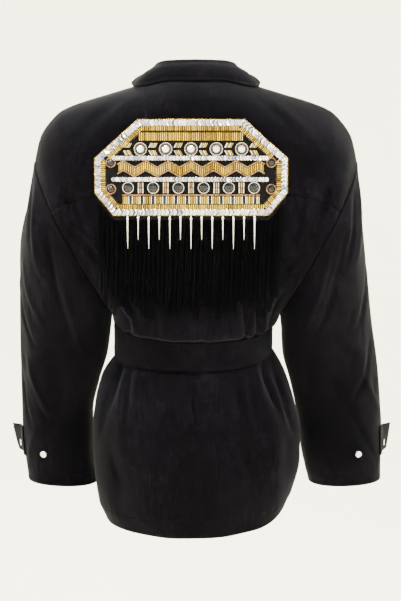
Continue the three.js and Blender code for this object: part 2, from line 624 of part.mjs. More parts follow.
// Collar: one strip of cloth that stands up from the neck seam, turns over and falls as the leaf
function collarProfile(station, sign) {
  const read = (valueName) => readTable(COLLAR_STATIONS, 'angle', station, valueName);
  const onFront = station > RIGHT_ANGLE;
  const side = onFront ? FRONT : BACK;
  const u = NECK_U * Math.abs(Math.sin(rad(station)));
  const seam = bodyPoint(side, u, 0);
  const upward = seam.clone().sub(bodyPoint(side, u, 1)).normalize();
  if (onFront && sign > 0) seam.y += lapLift(u);
  const fold = new THREE.Vector3(read('foldX'), read('foldY'), read('foldZ'));
  const out = new THREE.Vector3(seam.x, seam.y, 0).normalize();
  const base = seam.clone().addScaledVector(upward, 2 * SEAM_GAP).addScaledVector(out, -CLOTH);
  base.z += SEAM_GAP;
  const distance = CLOTH + 3 * LAY_GAP + (onFront ? FRONT_LAP_LIFT + 2 * LAY_GAP : 0);
  const turn = rad(Math.abs(read('turn')));
  const edgeU = read('edgeX') / SHOULDER_X;
  const ridge = readTable(RIDGE, 'u', edgeU, 'z');
  const fall = readTable(RIDGE, 'u', edgeU, 'fall') + distance;
  const edgeSide = Math.sign(read('turn'));
  const depth = lerp(edgeSide < 0 ? CHEST_BACK : CHEST_FRONT, ARMHOLE_HALF_DEPTH, edgeU * edgeU) + distance;
  const edge = placeByTurn(edgeSide, read('edgeX'), turn, depth, ridge + distance, fall);
  const radius = COLLAR_FOLD_RADIUS;
  const inside = fold.clone().addScaledVector(out, -radius).add(new THREE.Vector3(0, 0, -radius));
  const outside = fold.clone().addScaledVector(out, radius).add(new THREE.Vector3(0, 0, -radius));
  const stand = base.clone().lerp(inside, 0.5);
  const leaf = COLLAR_LEAF_SHARES.map((share) => {
    const bulge = COLLAR_BULGE * Math.sin(Math.PI * share);
    const point = outside.clone().lerp(edge, share).addScaledVector(out, bulge);
    point.z += bulge;
    return clearOfShoulder(point, distance);
  });
  return [base, stand, inside, fold, outside, ...leaf, edge].map((point) => {
    point.x *= sign;
    return point;
  });
}

function makeCollar() {
  const halfStations = [0, 20, 40, 58, 74, 90, 106, 122, 140, 160, 178];
  const stations = [
    ...halfStations.slice(1).reverse().map((angle) => ({ angle, sign: -1 })),
    ...halfStations.map((angle) => ({ angle, sign: 1 })),
  ];
  const profiles = stations.map(({ angle, sign }) => collarProfile(angle, sign));
  const rows = profiles[0].map((_, row) => profiles.map((profile) => profile[row]));
  return wallGeometry(gridOf(rows, -1), CLOTH);
}

// Belt: laid on the body's own points, one turn from the middle of the front and a lap
const beltLap = (u) => BELT_LAP_LIFT * smoothstep(u, BELT_LAP_U.start, BELT_LAP_U.full);

function makeBelt() {
  const place = (side, u, share, lap) => {
    const point = bodyPoint(side, u, BELT_TOP_ROW + share);
    point.y += side === FRONT ? lapLift(u) : 0;
    return { point, lap };
  };
  const lapColumns = [OVERLAP_U * 2, OVERLAP_U];
  const path = [
    ...lapColumns.map((u) => ({ side: FRONT, u: -u, lap: 0 })),
    ...HALF_COLUMNS.map((u) => ({ side: FRONT, u, lap: 0 })),
    ...WHOLE_COLUMNS.slice(1, -1).reverse().map((u) => ({ side: BACK, u, lap: 0 })),
    ...HALF_COLUMNS.slice().reverse().map((u) => ({ side: FRONT, u: -u, lap: beltLap(-u) })),
    ...lapColumns.slice().reverse().map((u) => ({ side: FRONT, u, lap: beltLap(u) })),
  ];
  const rows = BELT_EDGES.map((share) => path.map((step) => place(step.side, step.u, share, step.lap)));
  const grid = gridOf(rows.map((row) => row.map((step) => step.point)), 1);
  const outward = Math.sign(grid[0][0].n.y);
  grid.forEach((row, j) => row.forEach((step, i) => {
    step.n.multiplyScalar(outward);
    step.p.addScaledVector(step.n, LAY_GAP + BELT_CLOTH + rows[j][i].lap);
  }));
  return grid;
}

// Buttons
function buttonGeometry({ radius, height }) {
  const rim = [[radius, height * 0.6], [radius * 0.82, height]];
  const profile = [[0, 0], [radius, 0], ...rim, [0, height * 0.8]];
  return new THREE.LatheGeometry(profile.map(([x, y]) => new THREE.Vector2(x, y)), BUTTON_SIDES);
}

function setOn(mesh, place, lift) {
  mesh.position.copy(place.p).addScaledVector(place.n, lift);
  mesh.quaternion.setFromUnitVectors(new THREE.Vector3(0, 1, 0), place.n);
  return mesh;
}

// Cuff tabs
function sleevePlace(name, angle, t, lift) {
  const step = { angle: 2, t: 0.01 };
  const across = sleevePoint(name, angle + step.angle, t).sub(sleevePoint(name, angle - step.angle, t));
  const down = sleevePoint(name, angle, t + step.t).sub(sleevePoint(name, angle, t - step.t));
  const normal = across.cross(down).normalize().multiplyScalar(name === 'left' ? 1 : -1);
  return { p: sleevePoint(name, angle, t).addScaledVector(normal, lift), n: normal };
}

function tabFlare(angle) {
  return TAB_FLARE.rise * smoothstep(angle, TAB_FLARE.from, TAB_FLARE.from + TAB_FLARE.over);
}

function makeTab(name) {
  const lift = 2 * LAY_GAP + TAB.thickness;
  const points = TAB_ROWS.map((share) => Array.from({ length: TAB_COLUMNS + 1 }, (_, i) => {
    const along = i / TAB_COLUMNS;
    const angle = lerp(TAB.from, TAB.free, along);
    const slant = TAB_SLANT * along * (1 - share);
    const t = lerp(TAB.top, TAB.bottom, share + slant);
    const flare = tabFlare(angle) * lerp(1, TAB_FLARE.footShare, share);
    return sleevePlace(name, angle, t, lift + flare).p;
  }));
  return gridOf(points, name === 'left' ? 1 : -1);
}

// Applique
const MERGE_DISTANCE = 1e-4;

function solidOf(geometry) {
  const plain = geometry.clone();
  plain.deleteAttribute('normal');
  plain.deleteAttribute('uv');
  const merged = mergeVertices(plain, MERGE_DISTANCE);
  return new wasm.Manifold(new wasm.Mesh({
    numProp: 3,
    vertProperties: new Float32Array(merged.attributes.position.array),
    triVerts: new Uint32Array(merged.index.array),
  }));
}

function geometryOf(solid) {
  const mesh = solid.getMesh();
  const geometry = new THREE.BufferGeometry();
  geometry.setAttribute('position', new THREE.BufferAttribute(mesh.vertProperties, 3));
  geometry.setIndex(new THREE.BufferAttribute(mesh.triVerts, 1));
  return geometry;
}

function allBeads() {
  const inRow = (row) => Array.from({ length: row.count }, (_, i) => {
    return { ...row, x: (i - (row.count - 1) / 2) * row.pitch };
  });
  const corners = CORNER_BEADS.flatMap((bead) => [bead, { ...bead, x: -bead.x }]);
  return [...inRow(CRYSTALS), ...inRow(STUDS), ...corners];
}

function beadSolid(bead) {
  const sunk = 0.6;
  const { radius, height } = bead;
  const shape = new THREE.CylinderGeometry(radius * 0.55, radius, height + sunk, BEAD_SIDES);
  const place = onBack(PLAQUE_X + bead.x, bead.z, PLAQUE_LIFT + PLAQUE_THICKNESS + (height - sunk) / 2);
  const turn = new THREE.Quaternion().setFromUnitVectors(new THREE.Vector3(0, 1, 0), place.n);
  shape.applyQuaternion(turn).translate(place.p.x, place.p.y, place.p.z);
  return solidOf(shape);
}

function needleSolid(index) {
  const x = PLAQUE_X + (index - (NEEDLE_COUNT - 1) / 2) * NEEDLE_PITCH;
  const length = NEEDLE_LENGTHS[index % NEEDLE_LENGTHS.length];
  const edgeZ = PLAQUE_FOOT.z;
  const inPlaque = PLAQUE_LIFT + PLAQUE_THICKNESS / 2;
  const stations = [
    { z: edgeZ + 4, lift: inPlaque, width: NEEDLE_WIDTH },
    { z: edgeZ + 1, lift: NEEDLE_LIFT, width: NEEDLE_WIDTH * 1.3 },
    { z: edgeZ - 4, lift: NEEDLE_LIFT + 0.6, width: NEEDLE_WIDTH },
    { z: edgeZ - length, lift: NEEDLE_LIFT + 0.6, width: NEEDLE_TIP },
  ];
  return solidOf(rodGeometry(stations.map((s) => ({ p: onBack(x, s.z, s.lift).p, r: s.width / 2 })), 4));
}

// A closed rod of level rings with the radius r about the points p
function rodGeometry(path, sides) {
  const positions = [];
  const index = [];
  for (const { p, r } of path) {
    for (let i = 0; i < sides; i += 1) {
      const turn = (2 * Math.PI * i) / sides;
      positions.push(p.x + r * Math.sin(turn), p.y + r * Math.cos(turn), p.z);
    }
  }
  for (let j = 0; j < path.length - 1; j += 1) {
    for (let i = 0; i < sides; i += 1) {
      const next = (i + 1) % sides;
      const a = j * sides + i;
      const b = j * sides + next;
      index.push(a, a + sides, b + sides, a, b + sides, b);
    }
  }
  const end = (path.length - 1) * sides;
  for (let i = 1; i < sides - 1; i += 1) {
    index.push(0, i, i + 1, end, end + i + 1, end + i);
  }
  return facingOut(positions, index);
}

function plaqueOutline() {
  const corners = [
    [PLAQUE_TOP.half, PLAQUE_TOP.z],
    [PLAQUE_SIDE.half, PLAQUE_SIDE.top],
    [PLAQUE_SIDE.half, PLAQUE_SIDE.bottom],
    [PLAQUE_FOOT.half, PLAQUE_FOOT.z],
  ];
  const mirrored = corners.map(([x, z]) => [-x, z]).reverse();
  const shape = new THREE.Shape([...corners, ...mirrored].map(([x, z]) => new THREE.Vector2(x, z)));
  const depth = PLAQUE_DEPTHS.near - PLAQUE_DEPTHS.far;
  const block = new THREE.ExtrudeGeometry(shape, { depth, bevelEnabled: false });
  return block.rotateX(Math.PI / 2).translate(PLAQUE_X, PLAQUE_DEPTHS.near, 0);
}

function makePlaque() {
  const columns = WHOLE_COLUMNS.filter((u) => Math.abs(u) < PLAQUE_ROWS.widest);
  const cover = panelGrid(BACK, columns, PLAQUE_ROWS.first, PLAQUE_ROWS.last);
  moveOut(cover, PLAQUE_LIFT + PLAQUE_THICKNESS);
  let solid = solidOf(wallGeometry(cover, PLAQUE_THICKNESS)).intersect(solidOf(plaqueOutline()));
  for (const bead of allBeads()) solid = solid.add(beadSolid(bead));
  for (let index = 0; index < NEEDLE_COUNT; index += 1) solid = solid.add(needleSolid(index));
  return geometryOf(solid);
}

// Fringe
function lowerEdgeZ(x) {
  const share = (Math.abs(x) - PLAQUE_FOOT.half) / (PLAQUE_SIDE.half - PLAQUE_FOOT.half);
  return lerp(PLAQUE_FOOT.z, PLAQUE_SIDE.bottom, clamp(share, 0, 1));
}

// Repeatable scatter between 0 and 1 for one cord
function scatter(index, salt) {
  const value = Math.sin(index * 127.1 + salt * 311.7) * 43758.5453;
  return value - Math.floor(value);
}

// A cord hangs plumb from its root, and lies on the cloth where the back swells out past that
function cordSolid(index) {
  const root = (index - (CORD_COUNT - 1) / 2) * CORD_PITCH;
  const top = lowerEdgeZ(root) - SEAM_GAP - STRIP_HEIGHT / 2;
  const length = lerp(CORD_LENGTH.least, CORD_LENGTH.most, scatter(index, 1));
  const sway = 1.6 * Math.sin(index * 0.31) + 0.5 * Math.sin(index * 0.11 + 1);
  let plumb = 0;
  const path = CORD_STATIONS.map(({ down, near, far, radius }) => {
    const x = PLAQUE_X + root + (sway + CORD_DRIFT) * down * down;
    const point = onBack(x, top - length * down, index % 2 === 0 ? near : far).p;
    plumb = Math.min(plumb, point.y);
    return { p: new THREE.Vector3(x, plumb, top - length * down), r: radius };
  });
  return solidOf(rodGeometry(path, CORD_SIDES));
}

function stripWidths() {
  const foot = PLAQUE_FOOT.half;
  const widths = [];
  for (let i = STRIP_STEPS.corner; i > 0; i -= 1) widths.push(-lerp(foot, STRIP_HALF, i / STRIP_STEPS.corner));
  for (let i = 0; i <= STRIP_STEPS.foot; i += 1) widths.push(lerp(-foot, foot, i / STRIP_STEPS.foot));
  for (let i = 1; i <= STRIP_STEPS.corner; i += 1) widths.push(lerp(foot, STRIP_HALF, i / STRIP_STEPS.corner));
  return widths;
}

function makeFringe() {
  const rows = [-2 * SEAM_GAP, -SEAM_GAP - STRIP_HEIGHT];
  const lift = LAY_GAP + STRIP_THICKNESS;
  const grid = rows.map((drop) => stripWidths().map((x) => onBack(PLAQUE_X + x, lowerEdgeZ(x) + drop, lift)));
  let solid = solidOf(wallGeometry(grid, STRIP_THICKNESS));
  for (let index = 0; index < CORD_COUNT; index += 1) solid = solid.add(cordSolid(index));
  return geometryOf(solid);
}

// Assembly
const jacket = new THREE.Group();

function addPiece(name, geometry, finish) {
  const mesh = new THREE.Mesh(geometry, new THREE.MeshStandardMaterial(materials[finish]));
  mesh.name = name;
  jacket.add(mesh);
  return mesh;
}

addPiece('back_yoke', wallGeometry(yokeGrid, CLOTH), 'denim');
addPiece('back_panel', wallGeometry(backGrid, CLOTH), 'denim');
addPiece('front_left', wallGeometry(leftGrid, CLOTH), 'denim');
addPiece('front_right', wallGeometry(rightGrid, CLOTH), 'denim');
addPiece('sleeve_left', wallGeometry(sleeveGrids.left, CLOTH, true), 'denim');
addPiece('sleeve_right', wallGeometry(sleeveGrids.right, CLOTH, true), 'denim');
addPiece('collar', makeCollar(), 'denim');

const beltGrid = makeBelt();
addPiece('belt', wallGeometry(beltGrid, BELT_CLOTH), 'denim');

for (const name of ['left', 'right']) {
  const tab = makeTab(name);
  addPiece(`cuff_tab_${name}`, wallGeometry(tab, TAB.thickness), 'denim');
  CUFF_BUTTONS.forEach(({ angle, onTab }, index) => {
    const place = sleevePlace(name, angle, CUFF_BUTTON_T, 0);
    const mesh = addPiece(`cuff_button_${name}_${index + 1}`, buttonGeometry(CUFF_BUTTON), 'silver');
    setOn(mesh, place, BUTTON_REST + (onTab ? 2 * LAY_GAP + TAB.thickness : 0));
  });
}

function frontPlace(z, lift) {
  const row = rowAtHeight(FRONT, 0, z, LAST_ROW);
  const down = bodyPoint(FRONT, 0, row + ROW_STEP).sub(bodyPoint(FRONT, 0, row - ROW_STEP));
  const normal = new THREE.Vector3(1, 0, 0).cross(down).normalize();
  return { p: bodyPoint(FRONT, 0, row).addScaledVector(normal, lift), n: normal };
}

FRONT_BUTTON_HEIGHTS.forEach((z, index) => {
  const mesh = addPiece(`front_button_${index + 1}`, buttonGeometry(FRONT_BUTTON), 'silver');
  setOn(mesh, frontPlace(z, FRONT_LAP_LIFT), BUTTON_REST);
});

const beltMiddleZ = (bodyPoint(FRONT, 0, BELT_TOP_ROW).z + bodyPoint(FRONT, 0, BELT_TOP_ROW + 1).z) / 2;
BELT_BUTTON_OFFSETS.forEach((offset, index) => {
  const mesh = addPiece(`belt_button_${index + 1}`, buttonGeometry(FRONT_BUTTON), 'silver');
  const lift = FRONT_LAP_LIFT + 2 * (LAY_GAP + BELT_CLOTH);
  setOn(mesh, frontPlace(beltMiddleZ + offset, lift), BUTTON_REST);
});

addPiece('applique_plaque', makePlaque(), 'applique');
addPiece('fringe', makeFringe(), 'cord');

export default jacket;
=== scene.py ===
# %% [markdown]
# # A black denim jacket seen from behind
# The jacket hangs in the form that it takes when worn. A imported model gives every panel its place
# and size. This notebook lays fine cloth, stitching, beads and fringe over that model, and then
# lights it like a plain studio photograph. Lengths are millimetres, and metres in the studio.
#
# One sculpted mesh could show the same jacket. Separate pieces are made instead, because a real
# jacket is cut and sewn from them, and each one can then be moved or changed on its own.

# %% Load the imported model
import json
import math

import bpy
import numpy as np
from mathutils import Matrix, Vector
from mathutils.bvhtree import BVHTree

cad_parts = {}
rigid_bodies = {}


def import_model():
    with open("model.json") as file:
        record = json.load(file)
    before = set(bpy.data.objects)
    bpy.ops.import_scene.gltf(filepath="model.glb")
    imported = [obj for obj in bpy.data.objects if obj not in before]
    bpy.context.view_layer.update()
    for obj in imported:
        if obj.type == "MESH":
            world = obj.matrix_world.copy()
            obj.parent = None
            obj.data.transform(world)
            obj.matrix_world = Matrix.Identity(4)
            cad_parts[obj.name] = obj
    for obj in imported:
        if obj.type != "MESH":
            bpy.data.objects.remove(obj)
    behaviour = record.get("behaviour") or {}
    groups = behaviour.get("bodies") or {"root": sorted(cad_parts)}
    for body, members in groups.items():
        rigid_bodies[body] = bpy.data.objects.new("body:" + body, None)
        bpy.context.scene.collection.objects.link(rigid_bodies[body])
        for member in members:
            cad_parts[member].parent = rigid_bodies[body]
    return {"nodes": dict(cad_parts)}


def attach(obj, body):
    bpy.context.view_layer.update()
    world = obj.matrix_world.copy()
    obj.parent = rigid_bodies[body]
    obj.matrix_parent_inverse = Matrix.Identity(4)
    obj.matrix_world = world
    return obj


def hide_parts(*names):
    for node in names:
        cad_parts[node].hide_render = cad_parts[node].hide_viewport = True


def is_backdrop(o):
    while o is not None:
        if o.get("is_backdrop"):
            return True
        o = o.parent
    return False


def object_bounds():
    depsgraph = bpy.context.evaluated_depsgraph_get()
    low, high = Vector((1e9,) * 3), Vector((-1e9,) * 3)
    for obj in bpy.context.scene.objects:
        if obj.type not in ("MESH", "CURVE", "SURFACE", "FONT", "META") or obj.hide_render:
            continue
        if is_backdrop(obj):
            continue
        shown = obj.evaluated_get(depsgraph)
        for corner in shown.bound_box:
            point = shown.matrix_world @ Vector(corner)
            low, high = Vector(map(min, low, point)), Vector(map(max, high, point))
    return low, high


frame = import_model()
PACKED_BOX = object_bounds()
MM = 0.001
TINY = 1e-12
rng = np.random.default_rng(7)
print("nodes:", len(frame["nodes"]))

# %% [markdown]
# ## Curves through a few numbers
# Most shapes below are given by short tables. These helpers read a smooth curve through a table.
# Blender's curve objects could draw such lines one by one. Arrays are used here, because one call
# reads a whole sheet of cloth. The curve never swings past the numbers on either side of it, so
# the cloth has no ripples between two rows.


# %% Smooth curves
def lerp(start, end, share):
    return start + (end - start) * share


def smoothstep(value, low, high):
    share = np.clip((value - low) / (high - low), 0, 1)
    return share * share * (3 - 2 * share)


def unit(vectors):
    return vectors / np.maximum(np.linalg.norm(vectors, axis=-1, keepdims=True), TINY)


def even_slopes(secants):
    before, after = secants[:-1], secants[1:]
    total = np.where(before + after == 0, 1, before + after)
    middle = np.where(before * after > 0, 2 * before * after / total, 0)
    return np.concatenate([secants[:1], middle, secants[-1:]])


def hermite(keys, values, slopes, at):
    index = np.clip(np.searchsorted(keys, at, side="right") - 1, 0, len(keys) - 2)
    span = keys[index + 1] - keys[index]
    share = np.clip((at - keys[index]) / span, 0, 1)
    if values.ndim > 1:
        span = span.reshape(-1, 1, 1)
        share = share.reshape(-1, 1, 1)
    rise = share * share * (3 - 2 * share)
    lean = slopes[index] * share * (1 - share) ** 2 - slopes[index + 1] * share**2 * (1 - share)
    return lerp(values[index], values[index + 1], rise) + span * lean


def read(keys, values, at):
    keys, values = np.asarray(keys, float), np.asarray(values, float)
    slopes = even_slopes(np.diff(values) / np.diff(keys))
    return hermite(keys, values, slopes, np.asarray(at, float))


def along_rows(net, at):
    """A net of rows read on smooth curves at distances down the cloth, and those of its own rows."""
    steps = np.linalg.norm(np.diff(net, axis=0), axis=2).mean(axis=1)
    keys = np.concatenate([[0], np.cumsum(steps)])
    secants = np.diff(net, axis=0) / steps.reshape(-1, 1, 1)
    places = at(keys) if callable(at) else at
    return hermite(keys, net, even_slopes(secants), places), keys


print("curve helpers ready")

# %% [markdown]
# ## The body's surface
# A worn jacket is round at the chest, narrow under its belt and wide again at the hips. The
# shoulder ridge, the armhole and a list of rows from the shoulder to the hem describe that body. A
# place on it has a column u, from -1 at the left side to 1 at the right side.
#
# The form could be sculpted by hand or draped over a figure. It is built from rows here, so that
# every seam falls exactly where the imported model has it.

# %% Body tables
BACK, FRONT = -1, 1
CLOTH, BELT_CLOTH, TAB_CLOTH = 2.0, 3.0, 2.2
SEAM_GAP, LAY_GAP = 0.3, 0.45
SHOULDER_X, SHOULDER_Z, UNDERARM_X = 257, -118, 136
ARMHOLE_HEIGHT, ARMHOLE_HALF_DEPTH, ARMHOLE_SWELL = 245, 95, 9
NECK_U, NECK_BACK_Y, NECK_FRONT_FALL = 0.31, 72, 100
CHEST_Z, YOKE_END_ANGLE = -170, 70
NECK_POWER = {BACK: 0.66, FRONT: 0.5}
CHEST_DEPTH = {BACK: 112, FRONT: 106}
FRONT_LAP_LIFT = CLOTH + 2 * LAY_GAP
OVERLAP_U = 0.08

RIDGE_U = [0, 0.16, 0.31, 0.54, 0.72, 0.83, 0.90, 0.96, 1]
RIDGE_Z = [24, 18, 4, -14, -28, -40, -57, -80, -118]
RIDGE_FALL = [75, 75, 74, 79, 93, 104, 111, 118, 122.5]

YOKE_ANGLES = [0, 9, 18, 27, 36, 45, 54, 62, 70]
# angle, middle of the back, middle of the front, back depth, front depth, roundness, bow
LOWER_ROWS = [
    (86, -205, -203, 113, 107, 0.00, 4.5),
    (102, -240, -236, 115, 108, 0.06, 4.0),
    (118, -275, -269, 117, 110, 0.20, 3.5),
    (134, -308, -301, 119, 111, 0.40, 3.0),
    (150, -338, -330, 120, 112, 0.62, 2.6),
    (165, -362, -352, 121, 113, 0.82, 2.3),
    (180, -382, -362, 120, 110, 1.00, 2.0),
]
# side, middle of the back, middle of the front, half width, centre, side's y, back and front depth
WAIST_ROWS = [
    (-373, -395, -374, 133.0, -2.0, 0, 115, 106),
    (-381, -401, -386, 125.5, -4.5, 0, 101, 97),
    (-428, -446, -433, 125.5, -4.5, 0, 101, 97),
    (-438, -457, -444, 132.5, -4.5, -2, 109, 103),
    (-463, -483, -470, 148.0, -4.0, -7, 117, 109),
    (-505, -524, -511, 161.0, -2.0, -15, 124, 113),
    (-552, -570, -557, 168.0, 0.5, -22, 127, 115),
    (-604, -621, -609, 167.0, 2.0, -22, 127, 115),
    (-652, -667, -656, 160.0, 1.0, -20, 124, 113),
    (-684, -706, -694, 147.5, 1.5, -18, 119, 109),
]
# The belt and the hem ride up at the sides: how far each of the rows above rises at the left
# and at the right side
SIDE_RISES = [
    (6, 0), (8, 0), (-3, 10), (-2, 9), (0, 4),
    (0, 0), (0, 0), (0, 2), (0, 9), (3, 19),
]
HEM_TILT, TILT_START_Z, ROUND_POWER, WAIST_BOW = 18, -520, 0.86, 2
LAST_YOKE_ROW = len(YOKE_ANGLES) - 1
UNDERARM_ROW = LAST_YOKE_ROW + len(LOWER_ROWS)
BELT_TOP_ROW = UNDERARM_ROW + 2
LAST_ROW = UNDERARM_ROW + len(WAIST_ROWS)
print("rows of the body:", LAST_ROW + 1)


# %% Armhole and shoulders
def armhole_edge(angle):
    turn = np.radians(angle)
    down = (1 - np.cos(turn)) / 2
    swell = ARMHOLE_SWELL * np.sin(turn) ** 2 * (1 - down)
    x = lerp(SHOULDER_X, UNDERARM_X, down) + swell
    return x, ARMHOLE_HALF_DEPTH * np.sin(turn), SHOULDER_Z - ARMHOLE_HEIGHT * down


def by_turn(side, x, turn, depth, ridge, fall):
    quarter = np.minimum(turn, np.pi / 2)
    over = np.maximum(0, turn - np.pi / 2)
    y = side * depth * np.sin(quarter)
    return np.stack([x, y, ridge - fall * (1 - np.cos(quarter)) - fall * over], axis=-1)


def upper_row(side, u, angle):
    a = np.abs(u)
    ridge, fall = read(RIDGE_U, RIDGE_Z, a), read(RIDGE_U, RIDGE_FALL, a)
    depth = lerp(CHEST_DEPTH[side], ARMHOLE_HALF_DEPTH, a * a)
    chest = CHEST_Z + (armhole_edge(YOKE_END_ANGLE)[2] - CHEST_Z) * a**5
    neck = np.maximum(0, 1 - (a / NECK_U) ** 2) ** NECK_POWER[side]
    in_front = math.radians(NECK_FRONT_FALL) * neck
    start = np.arcsin(NECK_BACK_Y * neck / depth) if side == BACK else in_front
    drop = ridge - chest
    turned = np.arccos(np.clip(1 - drop / fall, -1, 1))
    end = np.where(drop < fall, turned, np.pi / 2 + (drop - fall) / fall)
    turn = lerp(start, end, angle / YOKE_END_ANGLE)
    return by_turn(side, u * armhole_edge(angle)[0], turn, depth, ridge, fall)


print("armhole depth:", ARMHOLE_HEIGHT, "mm")


# %% Rows below the yoke seam
def row_numbers(row):
    if row <= UNDERARM_ROW:
        angle, back_z, front_z, back, front, round_, bow = LOWER_ROWS[row - LAST_YOKE_ROW - 1]
        half, edge_y, side_z = armhole_edge(angle)
        return side_z, back_z, front_z, half, 0, 0, back, front, round_, bow, edge_y
    return (*WAIST_ROWS[row - UNDERARM_ROW - 1], 1, WAIST_BOW, 0)


def lower_row(side, u, row):
    side_z, back_z, front_z, half, centre, side_y, back, front, round_, bow, edge_y = row_numbers(row)
    a = np.minimum(1, np.abs(u))
    quarter = np.pi / 2 * a
    across = lerp(a, np.sin(quarter) ** ROUND_POWER, round_)
    out = lerp(1 - a * a, np.maximum(0, np.cos(quarter)) ** ROUND_POWER, round_)
    middle, depth = (back_z, back) if side == BACK else (front_z, front)
    tilt = HEM_TILT * smoothstep(-side_z, -TILT_START_Z, -WAIST_ROWS[-1][0]) * u
    below = row - UNDERARM_ROW - 1
    rises = SIDE_RISES[below] if 0 <= below < len(SIDE_RISES) else (0, 0)
    side_z = side_z + tilt + np.where(u < 0, *rises)
    x = centre + np.sign(u) * across * half
    y = side * (edge_y + (depth - edge_y) * out) + side_y * (1 - out)
    return np.stack([x, y, middle + (side_z - middle) * a**bow], axis=-1)


def body_net(side, u):
    """The body's rows from shoulder to hem at the columns u."""
    upper = [upper_row(side, u, angle) for angle in YOKE_ANGLES]
    lower = [lower_row(side, u, row) for row in range(LAST_YOKE_ROW + 1, LAST_ROW + 1)]
    return np.array(upper + lower)


print("body half width at the yoke seam:", round(float(armhole_edge(YOKE_END_ANGLE)[0]), 1), "mm")

# %% [markdown]
# ## Folds and creases
# The belt gathers the cloth, and the arms pull it into long folds. A fold is a soft ridge or trough
# along a line on the cloth. Each line in the tables gives its two ends, its width, its height and
# how far it bows sideways. A height below zero is a trough.
#
# A cloth simulation could make such folds, but it would also move the seams. Folds from a table
# stay where they are put, and one can be changed without touching the others.

# %% Large folds
MM_PER_DEGREE = 2.45
# angle round the body, top z, bottom z, width, rise, lean
BODY_FOLDS = [
    (-73, -150, -235, 9, -4.0, -4),
    (69, -150, -235, 12, 3.5, -6),
    (79, -165, -225, 9, -3.0, -4),
    (34, -335, -404, 9, -4.5, 3),
    (45, -345, -404, 8, -4.0, 4),
    (-28, -340, -404, 10, -3.5, -3),
    (-48, -330, -404, 12, -3.5, -5),
    (4, -350, -404, 9, -3.0, 0),
    (0, -440, -520, 9, -4.5, 2),
    (-20, -440, -530, 12, -3.0, -6),
    (-38, -440, -590, 16, 4.5, -10),
    (-56, -436, -560, 12, -4.0, -14),
    (20, -440, -540, 12, -3.0, 6),
    (42, -440, -600, 16, 4.5, 12),
    (60, -436, -560, 12, -5.0, 16),
    (-12, -560, -800, 26, 3.0, -5),
    (24, -580, -800, 26, -3.5, 6),
    (124, -437, -560, 13, -4.0, -10),
    (142, -437, -600, 16, 3.5, -6),
    (-120, -437, -560, 13, -4.5, 10),
    (-143, -437, -590, 16, 3.5, 6),
    (140, -325, -395, 11, -3.5, 3),
    (-138, -325, -395, 11, -3.5, -3),
]
print("large folds:", len(BODY_FOLDS))

# %% Creases of the back
# across and z of one end, across and z of the other, width, rise, bow
BACK_CREASES = [
    (-190, -148, -176, -222, 5, -2.6, 4),
    (-179, -146, -158, -232, 7, 2.4, 5),
    (-204, -196, -148, -262, 7, 2.2, -6),
    (-206, -222, -146, -286, 6, -2.4, -7),
    (-203, -158, -194, -214, 6, -6.5, 3),
    (-214, -160, -206, -206, 6, 3.5, 3),
    (203, -158, 196, -206, 6, -4.0, -3),
    (-184, -262, -120, -322, 8, 2.0, -8),
    (-160, -300, -96, -384, 7, 2.6, -6),
    (-142, -304, -82, -392, 6, -2.6, -6),
    (-124, -345, -104, -400, 5, -2.4, 2),
    (-62, -352, -56, -402, 5, -2.2, 0),
    (-36, -358, -34, -403, 5, 1.8, 0),
    (-14, -350, -10, -403, 5, -2.4, 1),
    (22, -356, 24, -403, 6, 1.8, 0),
    (50, -350, 54, -402, 5, -2.0, 1),
    (80, -338, 84, -401, 4.5, -3.4, 2),
    (91, -342, 95, -401, 4.5, 2.6, 2),
    (102, -342, 106, -400, 4.5, -3.2, 2),
    (120, -330, 118, -398, 6, 2.4, 3),
    (158, -296, 100, -372, 8, 2.4, 7),
    (146, -318, 132, -394, 6, -2.4, 4),
    (176, -262, 124, -318, 8, -2.2, 8),
    (190, -196, 160, -262, 7, 2.6, 6),
    (176, -150, 164, -214, 5, 3.0, -3),
    (168, -152, 152, -232, 6, -2.4, -4),
    (198, -170, 186, -230, 6, -2.6, -3),
    (-128, -436, -146, -512, 5, -3.0, -3),
    (-116, -438, -130, -520, 5, 2.4, -4),
    (-104, -440, -113, -540, 5, -3.2, -4),
    (-90, -443, -98, -505, 4.5, 2.0, -3),
    (-76, -445, -84, -528, 5, -2.4, -2),
    (-52, -447, -55, -500, 4.5, -1.8, -1),
    (-30, -449, -32, -522, 5, -2.4, -1),
    (-16, -449, -17, -500, 5, 1.6, 0),
    (1, -449, 4, -556, 4.2, -4.2, 1),
    (9, -449, 13, -545, 5, 2.4, 1),
    (36, -449, 39, -505, 4.5, -1.8, 1),
    (54, -448, 58, -520, 5, 1.7, 1),
    (70, -446, 76, -522, 4.5, -2.6, 2),
    (92, -443, 100, -540, 5, -2.6, 3),
    (106, -441, 118, -512, 5, 2.6, 3),
    (121, -438, 138, -506, 5.5, -5.2, 4),
    (134, -437, 158, -530, 6, 3.4, 5),
    (150, -436, 176, -510, 5, -3.0, 4),
    (-72, -520, -82, -690, 20, 3.0, -4),
    (-24, -535, -28, -700, 17, -2.6, 3),
    (28, -540, 34, -700, 17, 2.4, -3),
    (84, -540, 96, -690, 18, -3.2, 4),
    (132, -540, 140, -680, 15, 2.6, 6),
    (-140, -560, -128, -680, 15, -2.6, -6),
    (-100, -22, -150, -92, 10, 1.8, 5),
    (96, -20, 158, -88, 10, -1.8, -6),
    (120, -30, 200, -120, 11, 2.0, -7),
    (-130, -30, -205, -122, 10, -1.8, 6),
]
print("creases of the back:", len(BACK_CREASES))

